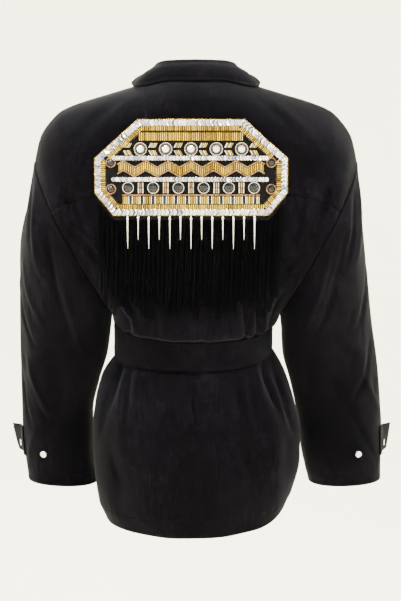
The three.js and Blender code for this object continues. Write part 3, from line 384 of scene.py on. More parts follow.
# %% Creases of the fronts
FRONT_CREASES = [
    (150, -150, 120, -232, 8, 2.6, 6),
    (168, -160, 138, -262, 7, -3.0, 7),
    (186, -210, 118, -300, 9, 2.6, 10),
    (172, -262, 98, -340, 8, -2.8, 9),
    (-154, -146, -128, -240, 8, -2.6, -6),
    (-176, -176, -124, -270, 8, 2.8, -8),
    (-180, -232, -104, -322, 8, -2.8, -9),
    (-150, -300, -78, -372, 8, 2.6, -6),
    (120, -316, 104, -382, 6, -2.8, 3),
    (88, -322, 84, -384, 6, 2.4, 2),
    (62, -326, 60, -385, 6, -2.6, 1),
    (-58, -322, -56, -385, 6, -2.8, -1),
    (-86, -326, -82, -384, 6, 2.4, -2),
    (-112, -316, -106, -382, 6, -2.8, -3),
    (60, -438, 64, -512, 5, -2.8, 2),
    (84, -437, 92, -540, 6, 2.6, 3),
    (108, -436, 122, -520, 5, -3.2, 4),
    (134, -434, 152, -520, 6, 2.6, 4),
    (-62, -438, -66, -520, 5, -2.8, -2),
    (-86, -437, -96, -545, 6, 2.6, -3),
    (-112, -436, -128, -520, 5, -3.2, -4),
    (-136, -434, -156, -515, 6, 2.6, -4),
    (74, -530, 84, -680, 19, -3.0, 4),
    (-78, -530, -88, -680, 19, 3.0, -4),
    (130, -540, 134, -670, 15, 2.6, 5),
    (-132, -540, -134, -670, 15, -2.6, -5),
]
print("creases of the fronts:", len(FRONT_CREASES))


# %% Fold functions
CREASE_DEPTH = 1.3
CREASE_FADE, FOLD_FADE = 0.75, 0.7
SMALL_TURN_SPREAD, SMALL_BOW_SPREAD = 28, 3
SMALL_LENGTH, SMALL_HEIGHT, SMALL_WIDTH = (16, 52), (0.35, 0.95), (3.2, 6)


def crease_rise(lines, across, down):
    rise = np.zeros_like(across)
    for x0, z0, x1, z1, width, height, bow in lines:
        length = math.hypot(x1 - x0, z1 - z0)
        along = ((across - x0) * (x1 - x0) + (down - z0) * (z1 - z0)) / length**2
        off = ((across - x0) * (z1 - z0) - (down - z0) * (x1 - x0)) / length
        middle = np.clip(4 * along * (1 - along), 0, 1)
        rise += height * middle**CREASE_FADE * np.exp(-(((off - bow * middle) / width) ** 2))
    return rise * CREASE_DEPTH


def body_fold_rise(angle, z):
    rise = np.zeros_like(z)
    for at, top, bottom, width, height, lean in BODY_FOLDS:
        down = np.clip((top - z) / (top - bottom), 0, 1)
        across = (angle - at) * MM_PER_DEGREE - lean * down
        rise += height * np.sin(np.pi * down) ** FOLD_FADE * np.exp(-((across / width) ** 2))
    return rise


def small_creases(count, low, high, steep):
    """Short shallow creases scattered over a box of the cloth, mostly at one angle in degrees."""
    places = rng.uniform(low, high, (count, 2))
    turn = np.radians(steep + rng.normal(0, SMALL_TURN_SPREAD, count))
    length = rng.uniform(*SMALL_LENGTH, count)
    dx, dz = np.cos(turn) * length, -np.sin(turn) * length
    height = rng.uniform(*SMALL_HEIGHT, count) * rng.choice([-1, 1], count)
    width = rng.uniform(*SMALL_WIDTH, count)
    bow = rng.normal(0, SMALL_BOW_SPREAD, count)
    return np.column_stack([places, places[:, 0] + dx, places[:, 1] + dz, width, height, bow])


BACK_SMALL = np.vstack([
    small_creases(60, (-200, -400), (190, -60), 30),
    small_creases(46, (-150, -660), (140, -440), 80),
])
FRONT_SMALL = np.vstack([
    small_creases(50, (-200, -380), (190, -60), 140),
    small_creases(40, (-150, -650), (140, -440), 95),
])
print("small creases:", len(BACK_SMALL) + len(FRONT_SMALL))

# %% [markdown]
# ## Cloth as thin closed walls
# A piece of cloth starts as a grid of points with outward normals. The wall below gives it its
# thickness, closes its edges, and lays a flat map on it in metres, so that the twill runs true.
#
# A plane with the Solidify modifier would look much the same. The wall is made directly, because
# its flat map is then known at every point, and the piece comes out as one closed body.


# %% Grids
def grid_normals(points, sign, closed=False):
    if closed:
        across = np.roll(points, -1, axis=1) - np.roll(points, 1, axis=1)
    else:
        across = np.gradient(points, axis=1)
    return unit(np.cross(across, np.gradient(points, axis=0))) * sign


def flat_map(points, closed=False):
    """How far each point lies across and down the cloth, in millimetres."""
    looped = np.concatenate([points, points[:, :1]], axis=1) if closed else points
    across = np.linalg.norm(np.diff(looped, axis=1), axis=2)
    across = np.concatenate([np.zeros((len(points), 1)), np.cumsum(across, axis=1)], axis=1)
    middle = across[:, looped.shape[1] // 2][:, None]
    down = np.linalg.norm(np.diff(looped, axis=0), axis=2).mean(axis=1)
    down = np.concatenate([[0], np.cumsum(down)])[:, None] * np.ones_like(across)
    return np.stack([across - middle, down], axis=-1)


print("grid helpers ready")


# %% Walls
def quads(*corners):
    """Faces from four corners, each with the (row, column) places of that corner on every face."""
    return np.stack([np.stack(corner, axis=-1) for corner in corners], axis=1)


def wall_faces(rows, cols, closed):
    """Faces of a closed wall, with the grid place (row, column) of each corner for the flat map."""
    last = cols if closed else cols - 1
    j, i = (m.ravel() for m in np.meshgrid(np.arange(rows - 1), np.arange(last), indexing="ij"))
    skin = quads((j, i), (j + 1, i), (j + 1, i + 1), (j, i + 1))
    sides = [(skin, (0, 0, 0, 0)), (skin[:, ::-1], (1, 1, 1, 1))]
    i = np.arange(last)
    top, foot = np.zeros_like(i), np.full_like(i, rows - 1)
    sides.append((quads((top, i), (top, i + 1), (top, i + 1), (top, i)), (0, 0, 1, 1)))
    sides.append((quads((foot, i + 1), (foot, i), (foot, i), (foot, i + 1)), (0, 0, 1, 1)))
    if not closed:
        j = np.arange(rows - 1)
        left, right = np.zeros_like(j), np.full_like(j, cols - 1)
        sides.append((quads((j + 1, left), (j, left), (j, left), (j + 1, left)), (0, 0, 1, 1)))
        sides.append((quads((j, right), (j + 1, right), (j + 1, right), (j, right)), (0, 0, 1, 1)))
    places = np.concatenate([side for side, _ in sides])
    under = np.concatenate([np.tile(layer, (len(side), 1)) for side, layer in sides])
    index = under * rows * cols + places[..., 0] * cols + places[..., 1] % cols
    return index, places


def signed_volume(verts, faces):
    a, b, c = (verts[faces[:, k]] for k in (0, 1, 2))
    volume = np.einsum("ij,ij->", a, np.cross(b, c))
    if faces.shape[1] == 4:
        d = verts[faces[:, 3]]
        volume += np.einsum("ij,ij->", a, np.cross(c, d))
    return volume / 6


print("wall helpers ready")


# %% Objects from walls
def new_object(name, verts, faces, material, sharp=50):
    """A smooth mesh object with sharp edges where faces meet at more than an angle in degrees."""
    mesh = bpy.data.meshes.new(name)
    mesh.from_pydata((np.asarray(verts) * MM).tolist(), [], faces)
    mesh.polygons.foreach_set("use_smooth", [True] * len(mesh.polygons))
    mesh.set_sharp_from_angle(angle=math.radians(sharp))
    mesh.materials.append(material)
    obj = bpy.data.objects.new(name, mesh)
    bpy.context.scene.collection.objects.link(obj)
    return obj


def cloth_object(name, cloth, thickness, material, closed=False):
    points, normals = cloth["points"], cloth["normals"]
    rows, cols = points.shape[:2]
    verts = np.concatenate([points, points - normals * thickness]).reshape(-1, 3)
    faces, places = wall_faces(rows, cols, closed)
    if signed_volume(verts, faces) < 0:
        faces, places = faces[:, ::-1], places[:, ::-1]
    obj = new_object(name, verts, faces.tolist(), material)
    flat = cloth["flat"][places[..., 0], places[..., 1]] * MM
    layer = obj.data.uv_layers.new(name="Cloth")
    layer.data.foreach_set("uv", flat.reshape(-1))
    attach(obj, "root")
    return obj


def cloth_size(cloth):
    """Width, length and area of the cloth as cut, in metres."""
    points, flat = cloth["points"], cloth["flat"] * MM
    a = points[1:, :-1] - points[:-1, :-1]
    b = points[:-1, 1:] - points[:-1, :-1]
    area = np.linalg.norm(np.cross(a, b), axis=2).sum() * MM * MM
    width = float(np.ptp(flat[..., 0], axis=1).max())
    length = float(np.ptp(flat[..., 1]))
    return width, length, min(float(area), width * length)


print("object helpers ready")

# %% [markdown]
# ## Materials
# The denim is brushed black twill: fine slanted ribs, a mottled grey bloom and a faint sheen. The
# beads, sequins and buttons each get a finish of their own.
#
# A photograph of cloth could be wrapped on the mesh, but it would show seams and repeats. Noise has
# neither, and a few numbers change it from coarse to fine, so every finish is built from noise.


# %% Material helpers
def new_material(name):
    material = bpy.data.materials.new(name)
    material.use_nodes = True
    nodes, links = material.node_tree.nodes, material.node_tree.links
    return material, nodes, links, nodes["Principled BSDF"]


def noise(nodes, links, coords, scale, detail=4.0, roughness=0.55):
    node = nodes.new("ShaderNodeTexNoise")
    node.inputs["Scale"].default_value = scale
    node.inputs["Detail"].default_value = detail
    node.inputs["Roughness"].default_value = roughness
    links.new(coords, node.inputs["Vector"])
    return node.outputs["Fac"]


def ramp(nodes, links, value, stops):
    node = nodes.new("ShaderNodeValToRGB")
    elements = node.color_ramp.elements
    while len(elements) < len(stops):
        elements.new(0.5)
    for element, (position, colour) in zip(elements, stops):
        element.position = position
        element.color = (*colour, 1)
    links.new(value, node.inputs["Fac"])
    return node.outputs["Color"]


def math_node(nodes, links, operation, first, second):
    node = nodes.new("ShaderNodeMath")
    node.operation = operation
    for socket, value in zip(node.inputs, (first, second)):
        if isinstance(value, (int, float)):
            socket.default_value = value
        else:
            links.new(value, socket)
    return node.outputs[0]


def bump(nodes, links, shader, height, strength, distance):
    node = nodes.new("ShaderNodeBump")
    node.inputs["Strength"].default_value = strength
    node.inputs["Distance"].default_value = distance
    links.new(height, node.inputs["Height"])
    links.new(node.outputs["Normal"], shader.inputs["Normal"])


print("material helpers ready")


# %% Denim
TWILL_SCALE, TWILL_TURN, SLUB_STRETCH = 230.0, 62, 0.08
PATCH_SCALE, FLECK_SCALE, FIBRE_SCALE, SLUB_SCALE = 11, 230, 1500, 420
BLACK, CHARCOAL, BLOOM = (0.0002, 0.0001, 0.0004), (0.0008, 0.0006, 0.0014), (0.0040, 0.0034, 0.0055)


def twill_ribs(nodes, links, uv):
    """Fine slanted ribs, a little uneven."""
    turn = nodes.new("ShaderNodeMapping")
    turn.inputs["Rotation"].default_value = (0, 0, math.radians(TWILL_TURN))
    links.new(uv.outputs["UV"], turn.inputs["Vector"])
    ribs = nodes.new("ShaderNodeTexWave")
    ribs.inputs["Scale"].default_value = TWILL_SCALE
    ribs.inputs["Distortion"].default_value = 1.2
    ribs.inputs["Detail"].default_value = 2.0
    ribs.inputs["Detail Scale"].default_value = 3.0
    links.new(turn.outputs["Vector"], ribs.inputs["Vector"])
    return ribs.outputs["Fac"]


def denim_material():
    material, nodes, links, shader = new_material("black_denim")
    uv = nodes.new("ShaderNodeUVMap")
    uv.uv_map = "Cloth"
    place = nodes.new("ShaderNodeTexCoord").outputs["Object"]
    ribs = twill_ribs(nodes, links, uv)
    patches = noise(nodes, links, place, PATCH_SCALE, 5, 0.6)
    flecks = noise(nodes, links, place, FLECK_SCALE, 3, 0.6)
    fibres = noise(nodes, links, place, FIBRE_SCALE, 2, 0.6)
    stretch = nodes.new("ShaderNodeMapping")
    stretch.inputs["Scale"].default_value = (1, SLUB_STRETCH, 1)
    links.new(uv.outputs["UV"], stretch.inputs["Vector"])
    slubs = noise(nodes, links, stretch.outputs["Vector"], SLUB_SCALE, 3, 0.65)
    streaks = math_node(nodes, links, "MULTIPLY_ADD", slubs, 0.9)
    nodes[-1].inputs[2].default_value = -0.45
    bloom = math_node(nodes, links, "MULTIPLY_ADD", flecks, 0.7)
    links.new(streaks, nodes[-1].inputs[2])
    cloud = math_node(nodes, links, "MULTIPLY_ADD", patches, 0.8)
    nodes[-1].inputs[2].default_value = -0.25
    mixed = math_node(nodes, links, "ADD", cloud, bloom)
    colour = ramp(nodes, links, mixed, [(0.30, BLACK), (0.52, CHARCOAL), (0.76, BLOOM)])
    links.new(colour, shader.inputs["Base Color"])
    rough = nodes.new("ShaderNodeMapRange")
    rough.inputs["To Min"].default_value = 0.74
    rough.inputs["To Max"].default_value = 0.95
    links.new(flecks, rough.inputs["Value"])
    links.new(rough.outputs["Result"], shader.inputs["Roughness"])
    shader.inputs["Specular IOR Level"].default_value = 0.025
    shader.inputs["Sheen Weight"].default_value = 0.03
    shader.inputs["Sheen Roughness"].default_value = 0.45
    shader.inputs["Sheen Tint"].default_value = (0.72, 0.76, 0.86, 1)
    weave = math_node(nodes, links, "MULTIPLY_ADD", fibres, 0.8)
    links.new(ribs, nodes[-1].inputs[2])
    lumps = math_node(nodes, links, "MULTIPLY_ADD", flecks, 1.6)
    links.new(weave, nodes[-1].inputs[2])
    bump(nodes, links, shader, lumps, 0.55, 0.00035)
    return material


DENIM = denim_material()
print("made", DENIM.name)


# %% [markdown]
# Glass, metal and thread share one recipe: a tone that drifts a little, a roughness that drifts
# with it, and a fine bump. Real beads never match in tone, so some kinds also take a chance tone
# for each bead. One material for each bead would do the same with far more work.


# %% Trim materials
CHANCE_STOPS, GRAIN_STOPS, GRAIN_SHARE = (0.1, 1.1), (0.35, 0.65), 0.3
FINE_DISTANCE = 0.0002


def plain_material(name, dark, light, scale, roughness, metallic=0.0, strength=0.2, by_piece=False, **more):
    """A material that varies in tone over its surface or, where by_piece is set, from bead to bead."""
    material, nodes, links, shader = new_material(name)
    place = nodes.new("ShaderNodeTexCoord").outputs["Object"]
    grain = noise(nodes, links, place, scale, 3, 0.6)
    tone = grain
    low, high = CHANCE_STOPS if by_piece else GRAIN_STOPS
    if by_piece:
        chance = nodes.new("ShaderNodeNewGeometry").outputs["Random Per Island"]
        tone = math_node(nodes, links, "MULTIPLY_ADD", grain, GRAIN_SHARE)
        links.new(chance, nodes[-1].inputs[2])
    links.new(ramp(nodes, links, tone, [(low, dark), (high, light)]), shader.inputs["Base Color"])
    spread = nodes.new("ShaderNodeMapRange")
    spread.inputs["To Min"].default_value = roughness * 0.75
    spread.inputs["To Max"].default_value = min(1, roughness * 1.3)
    links.new(grain, spread.inputs["Value"])
    links.new(spread.outputs["Result"], shader.inputs["Roughness"])
    shader.inputs["Metallic"].default_value = metallic
    for socket, value in more.items():
        shader.inputs[socket.replace("_", " ")].default_value = value
    fine = noise(nodes, links, place, scale * 4, 2, 0.5)
    bump(nodes, links, shader, fine, strength, FINE_DISTANCE)
    return material


print("recipe ready")


# %% Sequin film
def sequin_material():
    """Silver film with a faint shift of colour from one sequin to the next."""
    material, nodes, links, shader = new_material("silver_sequin")
    place = nodes.new("ShaderNodeTexCoord").outputs["Object"]
    shift = nodes.new("ShaderNodeNewGeometry").outputs["Random Per Island"]
    stops = [(0.0, (0.13, 0.17, 0.29)), (0.14, (0.30, 0.33, 0.40)), (0.34, (0.44, 0.44, 0.47))]
    stops += [(0.6, (0.64, 0.64, 0.65)), (0.84, (0.80, 0.79, 0.75)), (0.95, (0.42, 0.34, 0.31))]
    links.new(ramp(nodes, links, shift, stops), shader.inputs["Base Color"])
    shader.inputs["Metallic"].default_value = 0.9
    shader.inputs["Roughness"].default_value = 0.24
    bump(nodes, links, shader, noise(nodes, links, place, 900, 2), 0.25, FINE_DISTANCE)
    return material


SEQUIN = sequin_material()
print("made", SEQUIN.name)

# %% Threads, metals and glass
THREAD = plain_material(
    "black_thread", (0.0012, 0.0010, 0.0015), (0.0045, 0.0040, 0.0055), 900, 0.6, Specular_IOR_Level=0.03
)
STEEL = plain_material("silver_metal", (0.50, 0.51, 0.52), (0.78, 0.79, 0.80), 420, 0.22, 1.0)
GOLD = plain_material("gold_glass", (0.12, 0.065, 0.006), (0.52, 0.38, 0.06), 260, 0.22, 0.8, by_piece=True)
COPPER = plain_material("copper_glass", (0.12, 0.05, 0.02), (0.45, 0.24, 0.11), 260, 0.28, 0.7, by_piece=True)
CREAM = plain_material("cream_glass", (0.28, 0.245, 0.165), (0.68, 0.63, 0.49), 260, 0.25, 0.3, by_piece=True)
BROWN = plain_material("brown_glass", (0.035, 0.02, 0.012), (0.12, 0.07, 0.04), 260, 0.25, 0.1)
JET = plain_material(
    "black_glass", (0.002, 0.002, 0.0025), (0.007, 0.007, 0.008), 200, 0.08, 0.0, 0.08, Specular_IOR_Level=0.3
)
CRYSTAL = plain_material(
    "clear_crystal", (0.62, 0.64, 0.67), (0.93, 0.94, 0.96), 150, 0.06, 0.75, 0.05
)
GROUND = plain_material(
    "black_ground", (0.0012, 0.0012, 0.0014), (0.004, 0.004, 0.0045), 600, 0.8, Specular_IOR_Level=0.05
)
CORD = plain_material(
    "black_cord", (0.0002, 0.0002, 0.0003), (0.0016, 0.0016, 0.0021), 700, 0.55, 0.0, 0.3,
    Specular_IOR_Level=0.012,
)
TRIM = [THREAD, STEEL, GOLD, COPPER, CREAM, BROWN, JET, CRYSTAL, GROUND, CORD, SEQUIN]
print("trim materials:", len(TRIM))

# %% [markdown]
# ## The back and the fronts
# The back is cut in two, a yoke over the shoulders and a panel below it, and the fronts meet at a
# buttoned lap. Each panel is read from the body's surface, and then its folds are raised out of it.
#
# Cloth that is sewn dips into the seam and puckers a little beside it. A bump in the material could
# hint at that. The mesh itself is bent instead, so that the seams also catch the light from the side.


# %% Columns, rows and seams
NECK_COLUMNS = 22
STITCH_SIDE, STITCH_MERGE = 1.4, 0.55
ROLL_WIDTH, RIDGE_RISE, RIDGE_AT, RIDGE_WIDTH = 1.8, 0.45, 5.5, 3.2
PUCKER_RISE, PUCKER_RUN, PUCKER_DRIFT, PUCKER_BEAT = 0.4, 2.6, 11.0, 17.0
STITCH_DEPTH, STITCH_WIDTH = 0.35, 1.1


def half_columns(step):
    """Columns from the middle to the side, closer together under the neck."""
    neck = NECK_U * np.sin(np.radians(np.linspace(0, 90, NECK_COLUMNS)))
    side = np.linspace(NECK_U, 1, int((1 - NECK_U) * SHOULDER_X / step))[1:]
    return np.concatenate([neck, side])


def stations(start, end, step, lines=()):
    """Even places down the cloth, with three more at each stitched line."""
    places = list(np.linspace(start, end, max(2, int(round((end - start) / step)) + 1)))
    for line in lines:
        places = [p for p in places if abs(p - line) > step * STITCH_MERGE or p in (start, end)]
        places += [line - STITCH_SIDE, line, line + STITCH_SIDE]
    return np.array(sorted(places))


def edge_dip(distance, depth=1.1):
    """The cloth rolls into a seam and stands up a little beside it."""
    roll = -depth * np.exp(-((distance / ROLL_WIDTH) ** 2))
    return roll + RIDGE_RISE * np.exp(-(((distance - RIDGE_AT) / RIDGE_WIDTH) ** 2))


def pucker(distance, run, reach=9.0):
    """Small uneven waves along a seam, which die away from it."""
    wave = np.sin(run / PUCKER_RUN + 1.7 * np.sin(run / PUCKER_DRIFT)) * np.sin(run / PUCKER_BEAT + 0.6)
    return PUCKER_RISE * wave * np.exp(-((distance / reach) ** 2))


def stitch_dip(distance):
    return -STITCH_DEPTH * np.exp(-((distance / STITCH_WIDTH) ** 2))


print("seam helpers ready")


# %% Panel builder
FAR, SIDE_U = 1e3, 0.9
BELT_EASE, SIDE_EASE = (-1, 7), 14


def side_distance(flat, columns):
    """How far each point is from a side seam. A front's lapped edge counts as far off."""
    from_left = flat[..., 0] - flat[:, :1, 0]
    from_right = flat[:, -1:, 0] - flat[..., 0]
    left_reach = 1 if columns[0] < -SIDE_U else FAR
    right_reach = 1 if columns[-1] > SIDE_U else FAR
    return np.minimum(left_reach * from_left, right_reach * from_right)


def body_panel(side, columns, first, last, lines=(), lift=None, step=3.7):
    """A panel between two rows. Each stitched line is a row and a distance above it."""
    net = body_net(side, columns)
    if lift is not None:
        net[..., 1] += lift(columns)

    def places(keys):
        return stations(keys[first], keys[last], step, [keys[row] - above for row, above in lines])

    points, keys = along_rows(net, places)
    down = places(keys)[:, None]
    normals = grid_normals(points, side)
    flat = flat_map(points)
    middle = np.argmin(np.abs(columns))
    across = flat[..., 0] - flat[:, middle : middle + 1, 0]
    z = points[..., 2]
    angle = 90 * np.clip(columns, -1, 1) if side == BACK else 180 - 90 * columns
    angle = np.where(angle > 180, angle - 360, angle) * np.ones_like(z)
    creases = (BACK_CREASES, BACK_SMALL) if side == BACK else (FRONT_CREASES, FRONT_SMALL)
    rise = body_fold_rise(angle, z) + sum(crease_rise(table, across, z) for table in creases)
    belt_top, belt_foot = keys[BELT_TOP_ROW], keys[BELT_TOP_ROW + 1]
    clear = smoothstep(np.maximum(belt_top - down, down - belt_foot), *BELT_EASE)
    at_side = side_distance(flat, columns)
    rise = rise * clear * smoothstep(at_side, 0, SIDE_EASE)
    rise = rise + clear * (edge_dip(at_side) + pucker(at_side, down))
    cloth = {"points": points, "normals": normals, "flat": flat, "rise": rise, "down": down}
    cloth.update(across=across, keys=keys, columns=columns, side=side)
    return cloth


def settle(cloth, closed=False):
    """Raises the folds and takes the normals of the folded cloth."""
    sign = 1 if np.sum(grid_normals(cloth["points"], 1) * cloth["normals"]) > 0 else -1
    cloth["points"] = cloth["points"] + cloth["normals"] * cloth["rise"][..., None]
    cloth["normals"] = grid_normals(cloth["points"], sign, closed)
    return cloth


print("panel builder ready")

# %% Back yoke and back panel
HEM_LINE, HEM_EDGE_LINE = 26.0, 3.0
YOKE_STITCHES = (2.6, 9.0)
YOKE_DIP, PANEL_DIP, YOKE_STAND = 1.3, 1.7, 0.3
SEAM_REACH, HEM_REACH = 12, 10
BACK_STEP = 3.5
BACK_HALF = half_columns(BACK_STEP)
WHOLE = np.concatenate([-BACK_HALF[:0:-1], BACK_HALF])
HEM_ROWS = [(LAST_ROW, HEM_LINE)]

yoke = body_panel(BACK, WHOLE, 0, LAST_YOKE_ROW, [(LAST_YOKE_ROW, above) for above in YOKE_STITCHES])
to_seam = yoke["keys"][LAST_YOKE_ROW] - yoke["down"]
yoke["rise"] += edge_dip(to_seam, YOKE_DIP) + pucker(to_seam, yoke["across"], SEAM_REACH)
yoke["rise"] += YOKE_STAND * smoothstep(to_seam, 14, 4)
for above in YOKE_STITCHES:
    yoke["rise"] += stitch_dip(to_seam - above)
settle(yoke)

panel = body_panel(BACK, WHOLE, LAST_YOKE_ROW, LAST_ROW, HEM_ROWS)
from_seam = panel["down"] - panel["keys"][LAST_YOKE_ROW]
panel["rise"] += edge_dip(from_seam, PANEL_DIP) + pucker(from_seam, panel["across"], SEAM_REACH)
to_hem = panel["keys"][LAST_ROW] - panel["down"]
panel["rise"] += stitch_dip(to_hem - HEM_LINE) + pucker(to_hem - HEM_LINE, panel["across"], HEM_REACH)
settle(panel)

PIECES = {}
PIECES["back_yoke"] = cloth_object("yoke_cloth", yoke, CLOTH, DENIM)
PIECES["back_panel"] = cloth_object("back_cloth", panel, CLOTH, DENIM)
print("back:", yoke["points"].shape, panel["points"].shape)


# %% Fronts
FRONT_STEP, LAP_FADE = 4.6, (0.11, 0.30)
FRONT_HALF = np.concatenate([[-OVERLAP_U, -0.06, -0.03], half_columns(FRONT_STEP)])
PLACKET, PLACKET_EDGE, PLACKET_STAND = 36.0, (32, 38), 0.35
PLACKET_FOLDS, PLACKET_EASE = 0.12, (18, 60)


def lap_lift(u):
    """How far the right front stands off to lie over the left one."""
    return FRONT_LAP_LIFT * (1 - smoothstep(u, *LAP_FADE))


def front_panel(sign):
    """The right front for a sign of 1 and the left front for -1."""
    columns = FRONT_HALF if sign > 0 else -FRONT_HALF[::-1]
    lift = lap_lift if sign > 0 else None
    cloth = body_panel(FRONT, columns, 0, LAST_ROW, HEM_ROWS, lift, FRONT_STEP)
    from_hem = cloth["keys"][LAST_ROW] - cloth["down"] - HEM_LINE
    cloth["rise"] += stitch_dip(from_hem) + pucker(from_hem, cloth["across"], HEM_REACH)
    edge = cloth["flat"][:, :1, 0] if sign > 0 else cloth["flat"][:, -1:, 0]
    from_edge = np.abs(cloth["flat"][..., 0] - edge)
    cloth["rise"] *= lerp(PLACKET_FOLDS, 1, smoothstep(from_edge, *PLACKET_EASE))
    cloth["rise"] += PLACKET_STAND * (1 - smoothstep(from_edge, *PLACKET_EDGE))
    return settle(cloth)


fronts = {"front_right": front_panel(1), "front_left": front_panel(-1)}
for name, cloth in fronts.items():
    PIECES[name] = cloth_object(name + "_cloth", cloth, CLOTH, DENIM)
    print(name, cloth["points"].shape)

# %% [markdown]
# ## Sleeves
# The sleeves are wide tubes that start at a very deep armhole. Their rows give the outer and the
# inner line of the sleeve as seen from behind, and the angle runs round it from the outer line.
#
# A plain cylinder could be bent into place. Rows are used because the first ring then lies exactly
# on the armhole of the panels, and both edges follow the shape seen from behind.

# %% Sleeve tables
# t, outer x and z, inner x and z, half depth, centre y
SLEEVE_ROWS = {
    "right": [
        (0.00, 257, -118, 136, -363, 95, 0),
        (0.12, 264, -175, 139, -388, 93, 2),
        (0.30, 274, -262, 142, -430, 85, 8),
        (0.50, 287, -368, 156, -482, 74, 20),
        (0.70, 303, -470, 169, -540, 65, 32),
        (0.85, 310, -560, 177, -600, 59, 38),
        (1.00, 311, -649, 190, -655, 55, 40),
    ],
    "left": [
        (0.00, 257, -118, 136, -363, 95, 0),
        (0.12, 268, -175, 139, -388, 93, 2),
        (0.30, 283, -262, 145, -430, 85, 8),
        (0.50, 289, -368, 161, -482, 74, 20),
        (0.70, 291, -470, 173, -540, 65, 32),
        (0.85, 291, -560, 173, -600, 59, 38),
        (1.00, 283, -649, 166, -655, 55, 40),
    ],
}
SLEEVE_ROUND_POWER, SLEEVE_MM_PER_DEGREE, SLEEVE_LENGTH = 0.9, 1.3, 530
ROUND_FADE, SWELL_FADE = 0.4, 0.35
# angle, start, end, width, rise
SLEEVE_FOLDS = [
    (-52, 0.00, 0.42, 18, 3.0),
    (-84, 0.02, 0.36, 16, -4.0),
    (-112, 0.04, 0.30, 14, 3.0),
    (-34, 0.45, 0.80, 18, -3.0),
    (-96, 0.48, 0.74, 16, -3.0),
    (96, 0.38, 0.66, 16, -4.0),
    (60, 0.02, 0.40, 18, -3.0),
]
print("large folds of a sleeve:", len(SLEEVE_FOLDS))

# %% Creases of the sleeves
# across and distance down of one end, the same of the other, width, rise, bow
SLEEVE_CREASES = {
    "right": [
        (-34, 14, -66, 150, 8, 3.0, 6),
        (-58, 12, -92, 138, 7, -3.0, 6),
        (-86, 50, -134, 190, 8, -2.4, 8),
        (-112, 30, -158, 150, 8, 2.2, 6),
        (-22, 172, -82, 262, 8, -2.6, 9),
        (-118, 216, -58, 322, 9, 2.2, -8),
        (-36, 292, -104, 384, 7, -2.6, 8),
        (-78, 340, -24, 432, 8, 2.2, -7),
        (-128, 320, -84, 448, 8, -2.2, -6),
        (-96, 424, -44, 500, 7, -1.8, -5),
        (-150, 250, -110, 352, 8, 2.0, 6),
        (-20, 60, -10, 190, 9, -1.8, 4),
        (40, 30, 84, 180, 9, -2.6, -6),
        (90, 120, 130, 262, 9, 2.6, -7),
        (60, 270, 120, 340, 8, -2.6, -7),
        (130, 300, 60, 392, 8, 2.4, 7),
        (50, 380, 100, 470, 8, -2.2, -5),
    ],
    "left": [
        (-30, 20, -70, 128, 8, -2.6, 6),
        (-54, 10, -88, 150, 8, 2.8, 6),
        (-92, 36, -128, 172, 7, -2.8, 7),
        (-120, 90, -160, 210, 8, 2.2, 5),
        (-40, 156, -98, 236, 8, 2.2, 7),
        (-20, 214, -86, 290, 7, -2.4, 8),
        (-126, 246, -66, 346, 8, -2.4, -7),
        (-60, 318, -118, 404, 8, 2.2, 7),
        (-24, 352, -74, 440, 7, -2.2, 6),
        (-140, 340, -96, 460, 8, -2.0, -6),
        (-84, 430, -40, 498, 7, 1.6, -4),
        (-14, 90, -6, 200, 9, 1.8, 3),
        (38, 40, 80, 170, 9, 2.6, -6),
        (84, 130, 128, 270, 9, -2.6, -7),
        (66, 276, 126, 350, 8, 2.4, -7),
        (120, 320, 56, 400, 8, -2.4, 7),
    ],
}
print("sleeve creases:", sum(len(rows) for rows in SLEEVE_CREASES.values()))


# %% Sleeve surface
def keep_sign(value, power):
    return np.sign(value) * np.abs(value) ** power


def sleeve_points(name, angle, t):
    """Points of a sleeve without its folds. The angle and t are arrays of one shape."""
    keys, outer_x, outer_z, inner_x, inner_z, half, centre = np.array(SLEEVE_ROWS[name], float).T
    power = lerp(1, SLEEVE_ROUND_POWER, smoothstep(t, 0, ROUND_FADE))
    c, s = np.cos(np.radians(angle)), np.sin(np.radians(angle))
    share = (1 + keep_sign(c, power)) / 2
    swell = ARMHOLE_SWELL * s * s * (1 + c) / 2 * (1 - smoothstep(t, 0, SWELL_FADE))
    x = lerp(read(keys, inner_x, t), read(keys, outer_x, t), share) + swell
    y = read(keys, centre, t) + read(keys, half, t) * keep_sign(s, power)
    z = lerp(read(keys, inner_z, t), read(keys, outer_z, t), share)
    return np.stack([-x if name == "left" else x, y, z], axis=-1)


def sleeve_fold_rise(angle, t):
    rise = np.zeros_like(t)
    for at, start, end, width, height in SLEEVE_FOLDS:
        along = np.clip((t - start) / (end - start), 0, 1)
        across = (angle - at) * SLEEVE_MM_PER_DEGREE
        rise += height * np.sin(np.pi * along) * np.exp(-((across / width) ** 2))
    return rise


print("sleeve length along the outer line:", SLEEVE_LENGTH, "mm")


# %% Sleeves
SLEEVE_TURN_STEP, SLEEVE_STEP = 2.4, 4.1
ARMHOLE_EASE, ARMHOLE_DIP, ARMHOLE_GAP_REACH = 16, 1.4, 20
CUFF_EASE, CUFF_FOLDS, CUFF_REACH = 40, 0.35, 7


